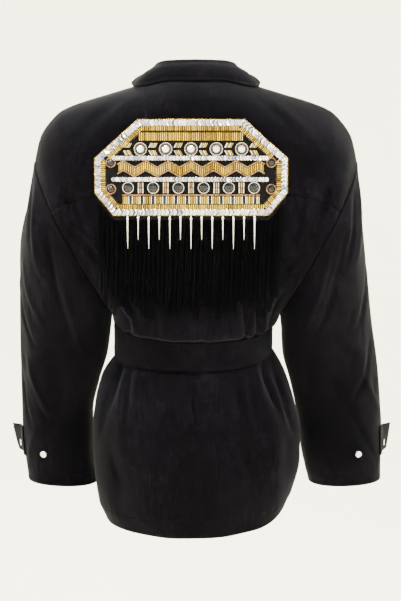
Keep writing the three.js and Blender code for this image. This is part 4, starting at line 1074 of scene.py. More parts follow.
def sleeve_rise(name, angle, length):
    """How far the cloth stands off the plain tube at each place."""
    across = angle * SLEEVE_MM_PER_DEGREE
    small = small_creases(46, (-190, 60), (190, 470), 250)
    rise = sleeve_fold_rise(angle, length / SLEEVE_LENGTH)
    rise = rise + crease_rise(SLEEVE_CREASES[name], across, length)
    rise = (rise + crease_rise(small, across, length)) * smoothstep(length, 0, ARMHOLE_EASE)
    near_cuff = smoothstep(length, SLEEVE_LENGTH, SLEEVE_LENGTH - CUFF_EASE)
    at_cuff = (SLEEVE_LENGTH - length) - HEM_LINE
    rise = rise * lerp(CUFF_FOLDS, 1, near_cuff)
    rise += edge_dip(length, ARMHOLE_DIP) + pucker(length, across)
    return rise + stitch_dip(at_cuff) + pucker(at_cuff, across, CUFF_REACH)


def make_sleeve(name):
    side = -1 if name == "left" else 1
    down = stations(0, SLEEVE_LENGTH, SLEEVE_STEP, [SLEEVE_LENGTH - HEM_LINE])
    angle, length = np.meshgrid(np.arange(-180, 180, SLEEVE_TURN_STEP), down)
    points = sleeve_points(name, angle, length / SLEEVE_LENGTH)
    normals = grid_normals(points, -side, closed=True)
    away = unit(np.array([ARMHOLE_HEIGHT, 0, UNDERARM_X - SHOULDER_X], float)) * (SEAM_GAP + 0.1)
    away = away * np.array([side, 1, 1])
    points = points + away * (1 - smoothstep(length, 0, ARMHOLE_GAP_REACH))[..., None]
    cloth = {"points": points, "normals": normals, "rise": sleeve_rise(name, angle, length)}
    settle(cloth, closed=True)
    cloth["flat"] = flat_map(cloth["points"], closed=True)
    cloth["down"] = down
    return cloth


sleeves = {name: make_sleeve(name) for name in ("left", "right")}
for name, cloth in sleeves.items():
    PIECES["sleeve_" + name] = cloth_object(f"sleeve_{name}_cloth", cloth, CLOTH, DENIM, closed=True)
print("sleeve grid:", sleeves["left"]["points"].shape)

# %% [markdown]
# ## Collar
# One strip of cloth stands up from the neck seam, turns over and falls as the leaf. Stations round
# the neck say where the fold runs and where the leaf's edge lies on the shoulders.
#
# The strip could be folded with the Simple Deform modifier, but its leaf would not rest on the
# shoulders. Here each point of the leaf is pushed clear of them, so that it lies on the cloth.

# %% Collar lines
# angle, fold x, y and z, edge x, edge turn
COLLAR_STATIONS = np.array([
    (0, 0, -65, 34, 0, -49),
    (40, 42, -52, 34, 60, -38),
    (75, 62, -22, 31, 94, -26),
    (100, 64, 10, 20, 103, 4),
    (130, 57, 51, -4, 98, 52),
    (158, 34, 80, -26, 84, 88),
    (180, 3, 93, -38, 62, 112),
], float)
COLLAR_FOLD_RADIUS, COLLAR_BULGE, LEAF_SHARES = 4.2, 3.0, (0.35, 0.7)
FRONT_FROM, LEAST_REACH = 90, 0.3
UP = np.array([0.0, 0.0, 1.0])


def clear_of_shoulder(points, distance):
    """Moves points off the upper body to at least the distance, along the turn of the shoulder."""
    u = np.minimum(1, np.abs(points[:, 0]) / SHOULDER_X)
    ridge, fall = read(RIDGE_U, RIDGE_Z, u), read(RIDGE_U, RIDGE_FALL, u)
    chest = np.where(points[:, 1] < 0, CHEST_DEPTH[BACK], CHEST_DEPTH[FRONT])
    depth = lerp(chest, ARMHOLE_HALF_DEPTH, u * u) + distance
    base = ridge - fall
    up = np.maximum(0, (points[:, 2] - base) / (fall + distance))
    reach = np.hypot(points[:, 1] / depth, up)
    scale = np.where(reach < 1, 1 / np.maximum(reach, LEAST_REACH), 1)
    points[:, 1] *= scale
    points[:, 2] = np.where(up > 0, base + (points[:, 2] - base) * scale, points[:, 2])
    return points


print("collar stations:", len(COLLAR_STATIONS))


# %% Half a collar
def collar_half(angles, sign):
    """The collar's rows from neck seam to leaf edge, for the right side or, at -1, the left."""
    fold_x, fold_y, fold_z, edge_x, turn = (
        read(COLLAR_STATIONS[:, 0], column, angles) for column in COLLAR_STATIONS[:, 1:].T
    )
    in_front = angles > FRONT_FROM
    u = NECK_U * np.abs(np.sin(np.radians(angles)))
    rows = {side: (upper_row(side, u, 0), upper_row(side, u, YOKE_ANGLES[1])) for side in (BACK, FRONT)}
    seam, below = (np.where(in_front[:, None], rows[FRONT][k], rows[BACK][k]) for k in (0, 1))
    upward = unit(seam - below)
    if sign > 0:
        seam[:, 1] += np.where(in_front, lap_lift(u), 0)
    fold = np.stack([fold_x, fold_y, fold_z], axis=-1)
    out = unit(seam * np.array([1, 1, 0]))
    base = seam + upward * 2 * SEAM_GAP - out * CLOTH + UP * SEAM_GAP
    distance = CLOTH + 3 * LAY_GAP + np.where(in_front, FRONT_LAP_LIFT + 2 * LAY_GAP, 0)
    edge_u = edge_x / SHOULDER_X
    ridge, fall = read(RIDGE_U, RIDGE_Z, edge_u), read(RIDGE_U, RIDGE_FALL, edge_u) + distance
    chest = np.where(turn < 0, CHEST_DEPTH[BACK], CHEST_DEPTH[FRONT])
    depth = lerp(chest, ARMHOLE_HALF_DEPTH, edge_u**2) + distance
    edge = by_turn(np.sign(turn), edge_x, np.radians(np.abs(turn)), depth, ridge + distance, fall)
    radius = COLLAR_FOLD_RADIUS
    inside = fold - out * radius - UP * radius
    outside = fold + out * radius - UP * radius
    leaf = []
    for share in LEAF_SHARES:
        bulge = COLLAR_BULGE * math.sin(math.pi * share)
        leaf.append(clear_of_shoulder(lerp(outside, edge, share) + out * bulge + UP * bulge, distance))
    rows = np.array([base, lerp(base, inside, 0.5), inside, fold, outside, *leaf, edge])
    rows[..., 0] *= sign
    return rows


print("the collar has rows from neck seam to leaf edge:", collar_half(np.array([0.0, 90.0]), 1).shape[0])


# %% Collar
COLLAR_END, COLLAR_COLUMNS, COLLAR_STEP, COLLAR_LINE = 178, 112, 2.3, 6.0
COLLAR_WAVE, COLLAR_CREASES, COLLAR_EASE, COLLAR_REACH = 0.9, 0.7, 6, 5


def collar_rows(keys):
    return stations(0, keys[-1], COLLAR_STEP, [keys[-1] - COLLAR_LINE])


def make_collar():
    half = np.linspace(0, COLLAR_END, COLLAR_COLUMNS)
    left, right = collar_half(half, -1), collar_half(half, 1)
    net = np.concatenate([left[:, :0:-1], right], axis=1)
    points, keys = along_rows(net, collar_rows)
    down = collar_rows(keys)[:, None]
    normals = grid_normals(points, -1)
    flat = flat_map(points)
    across = flat[..., 0]
    leaf = smoothstep(down, keys[4], keys[5])
    at_line = keys[-1] - down - COLLAR_LINE
    waves = COLLAR_WAVE * np.sin(across / 33.0 + 0.8) * np.sin(across / 71.0 + 1.9)
    creases = crease_rise(small_creases(26, (-230, 30), (230, 80), 60), across, down)
    rise = leaf * (waves + COLLAR_CREASES * creases)
    rise = rise + stitch_dip(at_line) + pucker(at_line, across, COLLAR_REACH)
    rise = rise * smoothstep(down, 0, COLLAR_EASE)
    cloth = {"points": points, "normals": normals, "rise": rise, "flat": flat, "down": down[:, 0]}
    return settle(cloth)


collar = make_collar()
PIECES["collar"] = cloth_object("collar_cloth", collar, CLOTH, DENIM)
print("collar grid:", collar["points"].shape)

# %% [markdown]
# ## Belt and cuff tabs
# The belt lies on the waist and laps over itself in front, where two buttons hold it. Each cuff has
# a short tab that stands off the sleeve at its free end.
#
# A belt could be a ring that is squeezed to fit. It is read from the body's own rows instead and
# pushed out by its thickness, so that it follows the waist without cutting into the cloth.


# %% Belt
BELT_LAP, BELT_SHARES, BELT_ROWS = (-0.42, -0.24), (0.02, 0.98), 20
BELT_FRONT_COLUMNS, BELT_BACK_COLUMNS, BELT_LAP_COLUMNS = 60, 150, 12
BELT_LINE, BELT_EASE_IN, BELT_CREASES, BELT_WAVE, BELT_REACH = 4.5, 8, 0.45, 0.5, 5


def body_at(side, u, row):
    """Points between two of the body's rows, one for each column."""
    first = int(row)
    net = [lower_row(side, u, first), lower_row(side, u, first + 1)]
    return lerp(net[0], net[1], row - first)


def belt_lap(u):
    """How far the belt's end stands off to lie over its beginning."""
    return (BELT_CLOTH + LAY_GAP) * smoothstep(u, *BELT_LAP)


def make_belt():
    start = np.linspace(-2 * OVERLAP_U, 0, BELT_LAP_COLUMNS, endpoint=False)
    finish = np.linspace(0, 2 * OVERLAP_U, BELT_LAP_COLUMNS + 1)[1:]
    front = np.concatenate([start, np.linspace(0, 1, BELT_FRONT_COLUMNS)])
    back = np.linspace(1, -1, BELT_BACK_COLUMNS)[1:-1]
    home = np.concatenate([np.linspace(-1, 0, BELT_FRONT_COLUMNS), finish])
    rows = []
    for share in np.linspace(*BELT_SHARES, BELT_ROWS):
        row = BELT_TOP_ROW + share
        parts = [body_at(FRONT, front, row), body_at(BACK, back, row), body_at(FRONT, home, row)]
        parts[0][:, 1] += lap_lift(front)
        parts[2][:, 1] += lap_lift(home)
        rows.append(np.concatenate(parts))
    lap = np.concatenate([np.zeros(len(front) + len(back)), belt_lap(home)])
    points = np.array(rows)
    normals = grid_normals(points, 1)
    normals *= np.sign(normals[0, 0, 1])
    flat = flat_map(points)
    points = points + normals * (LAY_GAP + BELT_CLOTH + lap)[:, None]
    across, down = flat[..., 0], flat[..., 1]
    ends = np.minimum(down, down[-1:] - down)
    creases = crease_rise(small_creases(36, (-380, -6), (380, 50), 85), across, down)
    rise = BELT_CREASES * creases * smoothstep(ends, 0, BELT_EASE_IN) + stitch_dip(ends - BELT_LINE)
    waves = BELT_WAVE * np.sin(across / 47.0) * np.sin(down / 15.0 + 0.3)
    rise += waves + pucker(ends - BELT_LINE, across, BELT_REACH)
    cloth = {"points": points, "normals": normals, "rise": rise, "flat": flat, "down": down[:, 0]}
    return settle(cloth)


belt = make_belt()
PIECES["belt"] = cloth_object("belt_cloth", belt, BELT_CLOTH, DENIM)
print("belt grid:", belt["points"].shape)

# %% Cuff tabs
TAB_START, TAB_FREE, TAB_TOP, TAB_FOOT = -28, 20, 0.84, 0.925
TAB_FLARE, TAB_FLARE_FROM, TAB_FLARE_OVER, TAB_FOOT_SHARE, TAB_SLANT = 24, -6, 28, 0.68, 0.18
TAB_COLUMNS, TAB_ROWS, TAB_LINE, TAB_WAVE, TAB_WAVE_RUN = 40, 24, 4, 0.25, 5.0
NEAR_ANGLE, NEAR_T = 2, 0.01


def folded_sleeve(name, angle, t):
    """Points of a sleeve with its largest folds only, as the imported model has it."""
    rise = sleeve_fold_rise(angle, t)
    turn = np.radians(angle)
    side = -1 if name == "left" else 1
    push = np.stack([side * rise * np.cos(turn), rise * np.sin(turn), 0 * rise], axis=-1)
    return sleeve_points(name, angle, t) + push


def sleeve_place(name, angle, t):
    """Points and outward normals on the folded sleeve."""
    across = folded_sleeve(name, angle + NEAR_ANGLE, t) - folded_sleeve(name, angle - NEAR_ANGLE, t)
    down = folded_sleeve(name, angle, t + NEAR_T) - folded_sleeve(name, angle, t - NEAR_T)
    normals = unit(np.cross(across, down)) * (1 if name == "left" else -1)
    return folded_sleeve(name, angle, t), normals


def make_tab(name):
    along, share = np.meshgrid(np.linspace(0, 1, TAB_COLUMNS), np.linspace(0, 1, TAB_ROWS))
    angle = lerp(TAB_START, TAB_FREE, along)
    t = lerp(TAB_TOP, TAB_FOOT, share + TAB_SLANT * along * (1 - share))
    flare = TAB_FLARE * smoothstep(angle, TAB_FLARE_FROM, TAB_FLARE_FROM + TAB_FLARE_OVER)
    points, normals = sleeve_place(name, angle, t)
    lift = 2 * LAY_GAP + TAB_CLOTH + flare * lerp(1, TAB_FOOT_SHARE, share)
    points = points + normals * lift[..., None]
    cloth = {"points": points, "normals": grid_normals(points, 1 if name == "left" else -1)}
    cloth["flat"] = flat_map(points)
    down = cloth["flat"][..., 1]
    ends = np.minimum(down, down[-1:] - down)
    cloth["rise"] = stitch_dip(ends - TAB_LINE) + TAB_WAVE * np.sin(cloth["flat"][..., 0] / TAB_WAVE_RUN)
    cloth["down"] = down[:, 0]
    return settle(cloth)


tabs = {name: make_tab(name) for name in ("left", "right")}
for name, cloth in tabs.items():
    PIECES["cuff_tab_" + name] = cloth_object(f"tab_{name}_cloth", cloth, TAB_CLOTH, DENIM)
print("tab grid:", tabs["left"]["points"].shape)

# %% [markdown]
# ## Small shapes in great number
# Stitches, beads and sequins are copies of a few small closed shapes. Geometry Nodes could scatter
# instances of them. The copies are placed together and joined instead, so that each kind is a
# single plain mesh that any other program can open.


# %% Small closed shapes
def lathe(profile, sides):
    """A closed shape turned about z from (radius, height) pairs whose ends lie on the axis."""
    turn = 2 * np.pi * np.arange(sides) / sides
    verts = [(0, 0, profile[0][1])]
    for radius, height in profile[1:-1]:
        verts += [(radius * np.cos(a), radius * np.sin(a), height) for a in turn]
    verts.append((0, 0, profile[-1][1]))
    faces, last = [], len(verts) - 1

    def ring(k, i):
        return 1 + k * sides + i % sides

    for i in range(sides):
        faces.append((0, ring(0, i + 1), ring(0, i)))
        for k in range(len(profile) - 3):
            faces.append((ring(k, i), ring(k, i + 1), ring(k + 1, i + 1), ring(k + 1, i)))
        faces.append((last, ring(len(profile) - 3, i), ring(len(profile) - 3, i + 1)))
    return np.array(verts, float), faces


def copies(name, shape, points, axes, sizes, material, sharp=50):
    """One mesh of many copies. Axes are the copies' x, y and z directions as rows."""
    verts, faces = shape
    sizes = np.broadcast_to(np.asarray(sizes, float), (len(points), 3))
    placed = np.einsum("vk,nk,nkd->nvd", verts, sizes, axes) + points[:, None]
    every = []
    for n in range(len(points)):
        start = n * len(verts)
        every += [tuple(start + k for k in face) for face in faces]
    obj = new_object(name, placed.reshape(-1, 3), every, material, sharp)
    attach(obj, "root")
    return obj


def axes_from(normals, along):
    """Right-handed axes with z on the normal and x as near as can be to the given direction."""
    z = unit(normals)
    x = unit(along - z * np.sum(along * z, axis=1, keepdims=True))
    return np.stack([x, np.cross(z, x), z], axis=1)


SPINDLE = lathe([(0, -0.5), (0.75, -0.36), (1, 0), (0.75, 0.36), (0, 0.5)], 4)
LENS = lathe([(0, -0.3), (1, 0), (0.9, 0.5), (0.34, 0.2), (0, -0.1)], 12)
ROD = lathe([(0, -0.5), (1, -0.5), (1, 0.5), (0, 0.5)], 6)
BALL = lathe([(0, -1), (0.7, -0.72), (1, 0), (0.7, 0.72), (0, 1)], 7)
GEM = lathe([(0, 0), (0.94, 0), (1, 0.22), (0.82, 0.62), (0.5, 0.92), (0, 1)], 10)
print("shapes ready")

# %% [markdown]
# ## Stitching
# Black thread holds every seam and hem of the jacket, in runs of short even stitches. They could be
# drawn in the material, but real ones stand a little proud and catch the light. Each stitch is a
# small spindle that lies along its line, half sunk in the cloth.


# %% Stitched lines
STITCH_PITCH, STITCH_LENGTH, STITCH_RADIUS, STITCH_LIFT = 3.6, 2.7, 0.42, 0.15
LAST_SHARE = 1.001
stitch_parts = []


def sample(cloth, rows, columns):
    """Points and normals of a cloth grid at fractional rows and columns."""
    rows = np.clip(np.asarray(rows, float), 0, cloth["points"].shape[0] - LAST_SHARE)
    columns = np.clip(np.asarray(columns, float), 0, cloth["points"].shape[1] - LAST_SHARE)
    j, i = rows.astype(int), columns.astype(int)
    v, w = (rows - j)[:, None], (columns - i)[:, None]
    found = []
    for grid in (cloth["points"], cloth["normals"]):
        top = lerp(grid[j, i], grid[j, i + 1], w)
        found.append(lerp(top, lerp(grid[j + 1, i], grid[j + 1, i + 1], w), v))
    return found[0], unit(found[1])


def read_line(keys, values, at):
    return np.stack([np.interp(at, keys, column) for column in values.T], axis=-1)


def stitch_line(points, normals):
    """Notes the stitches of one line: their places, normals and directions."""
    steps = np.linalg.norm(np.diff(points, axis=0), axis=1)
    keys = np.concatenate([[0], np.cumsum(steps)])
    at = np.arange(STITCH_PITCH / 2, keys[-1], STITCH_PITCH)
    along = unit(read_line(keys, points, at + 1) - read_line(keys, points, at - 1))
    normal = unit(read_line(keys, normals, at))
    stitch_parts.append((read_line(keys, points, at) + normal * STITCH_LIFT, normal, along))


def row_line(cloth, distance):
    """A stitched line across the cloth at a distance down it."""
    row = np.interp(distance, np.ravel(cloth["down"]), np.arange(len(cloth["points"])))
    columns = np.arange(cloth["points"].shape[1])
    stitch_line(*sample(cloth, np.full(len(columns), row), columns))


def side_line(cloth, distance, right, rows=slice(None)):
    """A stitched line down the cloth at a distance from its left or right side."""
    flat = cloth["flat"][..., 0]
    index = np.arange(flat.shape[1])
    if right:
        columns = [np.interp(distance, (row[-1] - row)[::-1], index[::-1]) for row in flat]
    else:
        columns = [np.interp(distance, row - row[0], index) for row in flat]
    every = np.arange(len(flat))[rows]
    stitch_line(*sample(cloth, every, np.array(columns)[rows]))


print("stitch helpers ready")

# %% Stitching on the back
SIDE_OFFSETS = (2.8, 8.6)
seam = float(yoke["keys"][LAST_YOKE_ROW])
hem = float(panel["keys"][LAST_ROW])
for offset in YOKE_STITCHES:
    row_line(yoke, seam - offset)
for offset in (HEM_LINE, HEM_EDGE_LINE):
    row_line(panel, hem - offset)
# cloth, the row where its side lines end, and for each of these sides whether it is the right one
SIDE_LINES = [
    (yoke, None, (False, True)),
    (panel, UNDERARM_ROW, (False, True)),
    (fronts["front_right"], UNDERARM_ROW, (True,)),
    (fronts["front_left"], UNDERARM_ROW, (False,)),
]
for cloth, reach, sides in SIDE_LINES:
    last = None if reach is None else int(np.searchsorted(cloth["down"][:, 0], cloth["keys"][reach]))
    for right in sides:
        for offset in SIDE_OFFSETS:
            side_line(cloth, offset, right, slice(0, last))
print("stitched lines on the back:", len(stitch_parts))


# %% Stitching on the fronts, sleeves, collar, belt and tabs
FRONT_EDGE_LINE, BELT_END_LINE = 3.0, 4.0
for name, cloth in fronts.items():
    edge_is_right = name == "front_left"
    row_line(cloth, float(cloth["keys"][LAST_ROW]) - HEM_LINE)
    for offset in (FRONT_EDGE_LINE, PLACKET):
        side_line(cloth, offset, edge_is_right)
for cloth in sleeves.values():
    for offset in (HEM_LINE, HEM_EDGE_LINE):
        row_line(cloth, SLEEVE_LENGTH - offset)
row_line(collar, float(collar["down"][-1]) - COLLAR_LINE)
for offset in (BELT_LINE, 2 * BELT_LINE):
    row_line(belt, float(belt["down"][0]) + offset)
    row_line(belt, float(belt["down"][-1]) - offset)
side_line(belt, BELT_END_LINE, True)
for cloth in tabs.values():
    row_line(cloth, TAB_LINE)
    row_line(cloth, float(cloth["down"][-1]) - TAB_LINE)
    side_line(cloth, TAB_LINE, True)

points, normals, along = (np.concatenate(parts) for parts in zip(*stitch_parts))
sizes = (STITCH_RADIUS, STITCH_RADIUS, STITCH_LENGTH)
copies("stitches", SPINDLE, points, axes_from(along, normals), sizes, THREAD)
print("stitches:", len(points))

# %% [markdown]
# ## Buttons
# The buttons are small metal studs, pressed with a raised rim and a domed centre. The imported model
# already says where each one sits and which way it faces, so both are measured from its points. A
# bevelled cylinder would give the rim only. A turned profile gives the rim, the groove and the dome.


# %% Buttons
# Each pair is a share of the button's radius and a share of its height.
BUTTON_PROFILE = [
    (0, 0), (0.9, 0), (1, 0.18), (1, 0.45), (0.95, 0.72), (0.84, 0.9), (0.76, 0.86),
    (0.7, 0.66), (0.5, 0.62), (0.42, 0.74), (0.3, 0.92), (0.14, 0.99), (0, 1),
]
BUTTON_SIDES, BUTTON_SHARP = 30, 60
BUTTON_TURN = np.array([[0.31, 0.2, 0.93]])


def node_vertices(node):
    mesh = frame["nodes"][node].data
    flat = np.empty(len(mesh.vertices) * 3)
    mesh.vertices.foreach_get("co", flat)
    return flat.reshape(-1, 3) / MM


def make_button(node):
    verts = node_vertices(node)
    centre = verts.mean(axis=0)
    normal = np.linalg.svd(verts - centre)[2][-1]
    height = (verts - centre) @ normal
    away = np.linalg.norm(verts - centre - height[:, None] * normal, axis=1)
    middle = (height.max() + height.min()) / 2
    if away[height > middle].max() > away[height < middle].max() - 0.01:
        normal, height = -normal, -height
    foot, tall, radius = height.min(), np.ptp(height), away.max()
    shape = lathe([(radius * out, tall * up) for out, up in BUTTON_PROFILE], BUTTON_SIDES)
    axes = axes_from(normal[None], BUTTON_TURN)
    place = (centre + normal * foot)[None]
    obj = copies(node + "_stud", shape, place, axes, 1.0, STEEL, BUTTON_SHARP)
    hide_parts(node)
    return obj


button_nodes = sorted(node for node in frame["nodes"] if "button" in node)
for node in button_nodes:
    make_button(node)
print("buttons:", len(button_nodes))

# %% [markdown]
# ## The beaded applique
# A long octagon of black cloth lies over the yoke seam. Bands of beads and sequins run straight
# across it: silver sequins, set crystals, a zigzag of gold bugles, set studs and a striped foot.
#
# Such work could be one bumpy picture on a flat patch. Here every bead is a small solid of its own,
# because the glitter comes from each one facing a little another way.

# %% Applique table
HALF_OUTLINE = [(80, -60), (146, -118), (146, -170), (118, -204)]
OUTLINE = np.array(HALF_OUTLINE + [(-x, z) for x, z in reversed(HALF_OUTLINE)], float)
PLAQUE_TOP, PLAQUE_FOOT = HALF_OUTLINE[0][1], HALF_OUTLINE[-1][1]
PLAQUE_X = -7.0
PLAQUE_CLOTH = 2.0
PLAQUE_LIFT = LAY_GAP + PLAQUE_CLOTH
CRYSTAL_ROW = {"count": 5, "pitch": 38, "z": -104, "radius": 6, "height": 4.5}
STUD_ROW = {"count": 6, "pitch": 38, "z": -162, "radius": 7, "height": 4.5}
CORNER_STUDS = [(121, -124), (121, -164), (-121, -124), (-121, -164)]
CORNER_RADIUS, CORNER_HEIGHT = 5.5, 4
print("applique:", round(float(np.ptp(OUTLINE[:, 0]))), "by", round(float(np.ptp(OUTLINE[:, 1]))), "mm")


# %% Places on the back
RAY_START, RAY = -400, Vector((0, 1, 0))
BACK_MISS, PLAQUE_MISS = -100, -118


def tree_of(*objects):
    """The faces of the objects in one search tree, in millimetres."""
    verts, faces = [], []
    for obj in objects:
        start = len(verts)
        verts += [v.co / MM for v in obj.data.vertices]
        faces += [[start + k for k in p.vertices] for p in obj.data.polygons]
    return BVHTree.FromPolygons(verts, faces)


def seen_from_behind(tree, xz, lift, missed_y):
    """Points and outward normals where rays from behind meet the tree, lifted off the surface."""
    points, normals = [], []
    for x, z in np.asarray(xz, float):
        hit, normal, _, _ = tree.ray_cast(Vector((x, RAY_START, z)), RAY)
        points.append(hit if hit else (x, missed_y, z))
        normals.append(normal if hit and normal.y < 0 else (0, -1, 0))
    points, normals = np.array(points, float), np.array(normals, float)
    return points + normals * np.reshape(lift, (-1, 1)) * np.ones((len(points), 1)), normals


BACK_TREE = tree_of(PIECES["back_yoke"], PIECES["back_panel"])


def on_back(xz, lift=0.0):
    return seen_from_behind(BACK_TREE, xz, lift, BACK_MISS)


print("faces of the back:", sum(len(PIECES[name].data.polygons) for name in ("back_yoke", "back_panel")))


# %% The applique's ground
PLAQUE_ROWS, PLAQUE_COLUMNS, PLAQUE_SLACK = 52, 104, 0.5
SMOOTH_ROUNDS, SMOOTH_SHARE = 6, 0.6


def half_width(z):
    """Half the applique's width at height z."""
    x, height = np.array(HALF_OUTLINE, float).T
    return np.interp(-np.asarray(z, float), -height, x)


def make_plaque_cloth():
    """The ground laid over the back and then smoothed, as stiff backed cloth would bridge folds."""
    z = np.linspace(PLAQUE_TOP, PLAQUE_FOOT, PLAQUE_ROWS)
    share = np.linspace(-1, 1, PLAQUE_COLUMNS)
    x = PLAQUE_X + share[None] * half_width(z)[:, None]
    xz = np.stack(np.broadcast_arrays(x, z[:, None]), axis=-1)
    points, normals = on_back(xz.reshape(-1, 2))
    points = points.reshape(*xz.shape[:2], 3)
    for _ in range(SMOOTH_ROUNDS):
        inner = points[1:-1, 1:-1]
        around = points[:-2, 1:-1] + points[2:, 1:-1] + points[1:-1, :-2] + points[1:-1, 2:]
        inner[..., 1] = lerp(inner[..., 1], around[..., 1] / 4, SMOOTH_SHARE)
    normals = grid_normals(points, -1)
    points = points + normals * (PLAQUE_LIFT + PLAQUE_SLACK)
    return {"points": points, "normals": normals, "flat": flat_map(points)}


plaque = make_plaque_cloth()
PLAQUE = cloth_object("plaque_cloth", plaque, PLAQUE_CLOTH, GROUND)
PLAQUE_TREE = tree_of(PLAQUE)
print("applique grid:", plaque["points"].shape)


# %% Beadwork helpers
LEAST_BEND = 0.3
beadwork = {}


def on_plaque(xz, lift=0.0):
    return seen_from_behind(PLAQUE_TREE, np.asarray(xz, float) + (PLAQUE_X, 0), lift, PLAQUE_MISS)


def lay(kind, xz, turn=0.0, size=(1, 1, 1), lift=0.0):
    """Notes beads of a kind at (x, z), turned in the cloth's plane by an angle in degrees."""
    xz = np.asarray(xz, float).reshape(-1, 2)
    turn = np.broadcast_to(turn, len(xz))
    size = np.broadcast_to(size, (len(xz), 3))
    lift = np.broadcast_to(lift, len(xz))
    beadwork.setdefault(kind, []).append((xz, turn, size, lift))


def inward(direction):
    return np.array([direction[1], -direction[0]])


def moved_in(distance):
    """The outline's corners, moved in by a distance, with the first one again at the end."""
    corners = []
    for k, here in enumerate(OUTLINE):
        before, after = OUTLINE[k - 1], OUTLINE[(k + 1) % len(OUTLINE)]
        first, second = unit(here - before), unit(after - here)
        bend = unit(inward(first) + inward(second))
        corners.append(here + bend * distance / max(LEAST_BEND, float(bend @ inward(first))))
    return np.array([*corners, corners[0]])


def inset(distance, step):
    """Places and turns in degrees along the outline, moved in by a distance."""
    corners = moved_in(distance)
    lengths = np.linalg.norm(np.diff(corners, axis=0), axis=1)
    keys = np.concatenate([[0], np.cumsum(lengths)])
    at = np.arange(0, keys[-1] - step / 2, step)
    xz = np.stack([np.interp(at, keys, corners[:, k]) for k in (0, 1)], axis=-1)
    index = np.clip(np.searchsorted(keys, at, side="right") - 1, 0, len(OUTLINE) - 1)
    direction = unit(np.diff(corners, axis=0))[index]
    return xz, np.degrees(np.arctan2(direction[:, 1], direction[:, 0]))


def row_places(row):
    return [((k - (row["count"] - 1) / 2) * row["pitch"], row["z"]) for k in range(row["count"])]


def clear_of_stones(xz, margin):
    """Those of the places that no stone covers."""
    keep = np.ones(len(xz), bool)
    stones = [(place, CRYSTAL_ROW["radius"]) for place in row_places(CRYSTAL_ROW)]
    stones += [(place, STUD_ROW["radius"]) for place in row_places(STUD_ROW)]
    stones += [(place, CORNER_RADIUS) for place in CORNER_STUDS]
    for place, radius in stones:
        keep &= np.linalg.norm(xz - np.array(place), axis=1) > radius + margin
    return xz[keep]


print("beadwork helpers ready")

# %% [markdown]
# The border is four lines, one inside the other: a gold cord on the edge, overlapping silver
# sequins, a ladder of gold bugles, which are short glass tubes, and a row of small black beads. An
# array modifier could repeat a bead along a curve. The places are worked out instead, so that
# beads can be left out where a stone sits.

# %% The border
BUGLE, BUGLE_PITCH, BEAD_LIFT = 1.18, 2.85, 0.9
SEQUIN_RADIUS, SEQUIN_DEPTH, SEQUIN_LIFT = 4.9, 1.1, 1.5
SEQUIN_INSET, CORD_INSET, LADDER_INSET, BEAD_INSET = 5.2, 0.6, 13.2, 17.8
LADDER_CLEAR, BEAD_CLEAR = 8.5, 7.5


def chain(xz, turn, radius):
    """Sequins threaded in a row, each leaning on the next."""
    lay("sequin", xz, turn, (radius, radius, SEQUIN_DEPTH), SEQUIN_LIFT)


def off_corner_studs(xz, margin):
    return np.linalg.norm(xz[:, None] - np.array(CORNER_STUDS)[None], axis=2).min(axis=1) > margin


edge, turn = inset(SEQUIN_INSET, 6.0)
chain(edge, turn, SEQUIN_RADIUS)
edge, turn = inset(CORD_INSET, 2.0)
lay("gold_cord", edge, turn + 32, (0.9, 0.9, 3.6), 0.8)
edge, turn = inset(LADDER_INSET, BUGLE_PITCH)
keep = off_corner_studs(edge, LADDER_CLEAR)
lay("gold", edge[keep], turn[keep] + 90, (BUGLE, BUGLE, 6.8), BEAD_LIFT)
edge, turn = inset(BEAD_INSET, 2.5)
keep = off_corner_studs(edge, BEAD_CLEAR)
lay("jet_bead", edge[keep], turn[keep], 1.2, BEAD_LIFT)
print("lines of the border:", len(beadwork))

# %% [markdown]
# Inside the border the bands lie one below the other. The upright bugles of a band stand side by
# side with a dark gap between them, as they do when each one is sewn down through the cloth. A
# solid gold strip would be far lighter to compute, but the gaps are what makes it look like glass.

# %% Bands of bugles and sequins
FIELD_INSET, CHAIN_INSET, CHAIN_PITCH, CHAIN_RADIUS = 20.5, 9, 4.8, 3.7
CHAIN_HEIGHTS = (-117.5, -149.5)
TOP_BAND, ZIGZAG_Z, ZIGZAG_PITCH, ZIGZAG_RISE, BAND = (-79.5, -91.5), -133.5, 34.0, 4.8, 11.0
LONG_BUGLE, BUGLE_GAP, STONE_MARGIN = 12, 0.3, 3.5


def field(z):
    """Half the width inside the border at height z."""
    return float(half_width(z)) - FIELD_INSET


def zigzag(x):
    """Height of the zigzag's middle at x."""
    return ZIGZAG_Z + ZIGZAG_RISE * (np.abs((np.asarray(x) * 2 / ZIGZAG_PITCH) % 2 - 1) * 2 - 1)


def bar(kind, x, top, foot):
    """One upright line of bugles between two heights, kept off the stones."""
    count = max(1, round((top - foot) / LONG_BUGLE))
    z = top - (np.arange(count) + 0.5) * (top - foot) / count
    spots = clear_of_stones(np.stack([np.full(count, x), z], axis=-1), STONE_MARGIN)
    lay(kind, spots, 90, (BUGLE, BUGLE, (top - foot) / count - BUGLE_GAP), BEAD_LIFT)


def level_chain(z):
    half = field(z) - CHAIN_INSET
    x = np.arange(-half, half + 0.1, CHAIN_PITCH)
    chain(np.stack([x, np.full_like(x, z)], axis=-1), 0, CHAIN_RADIUS)


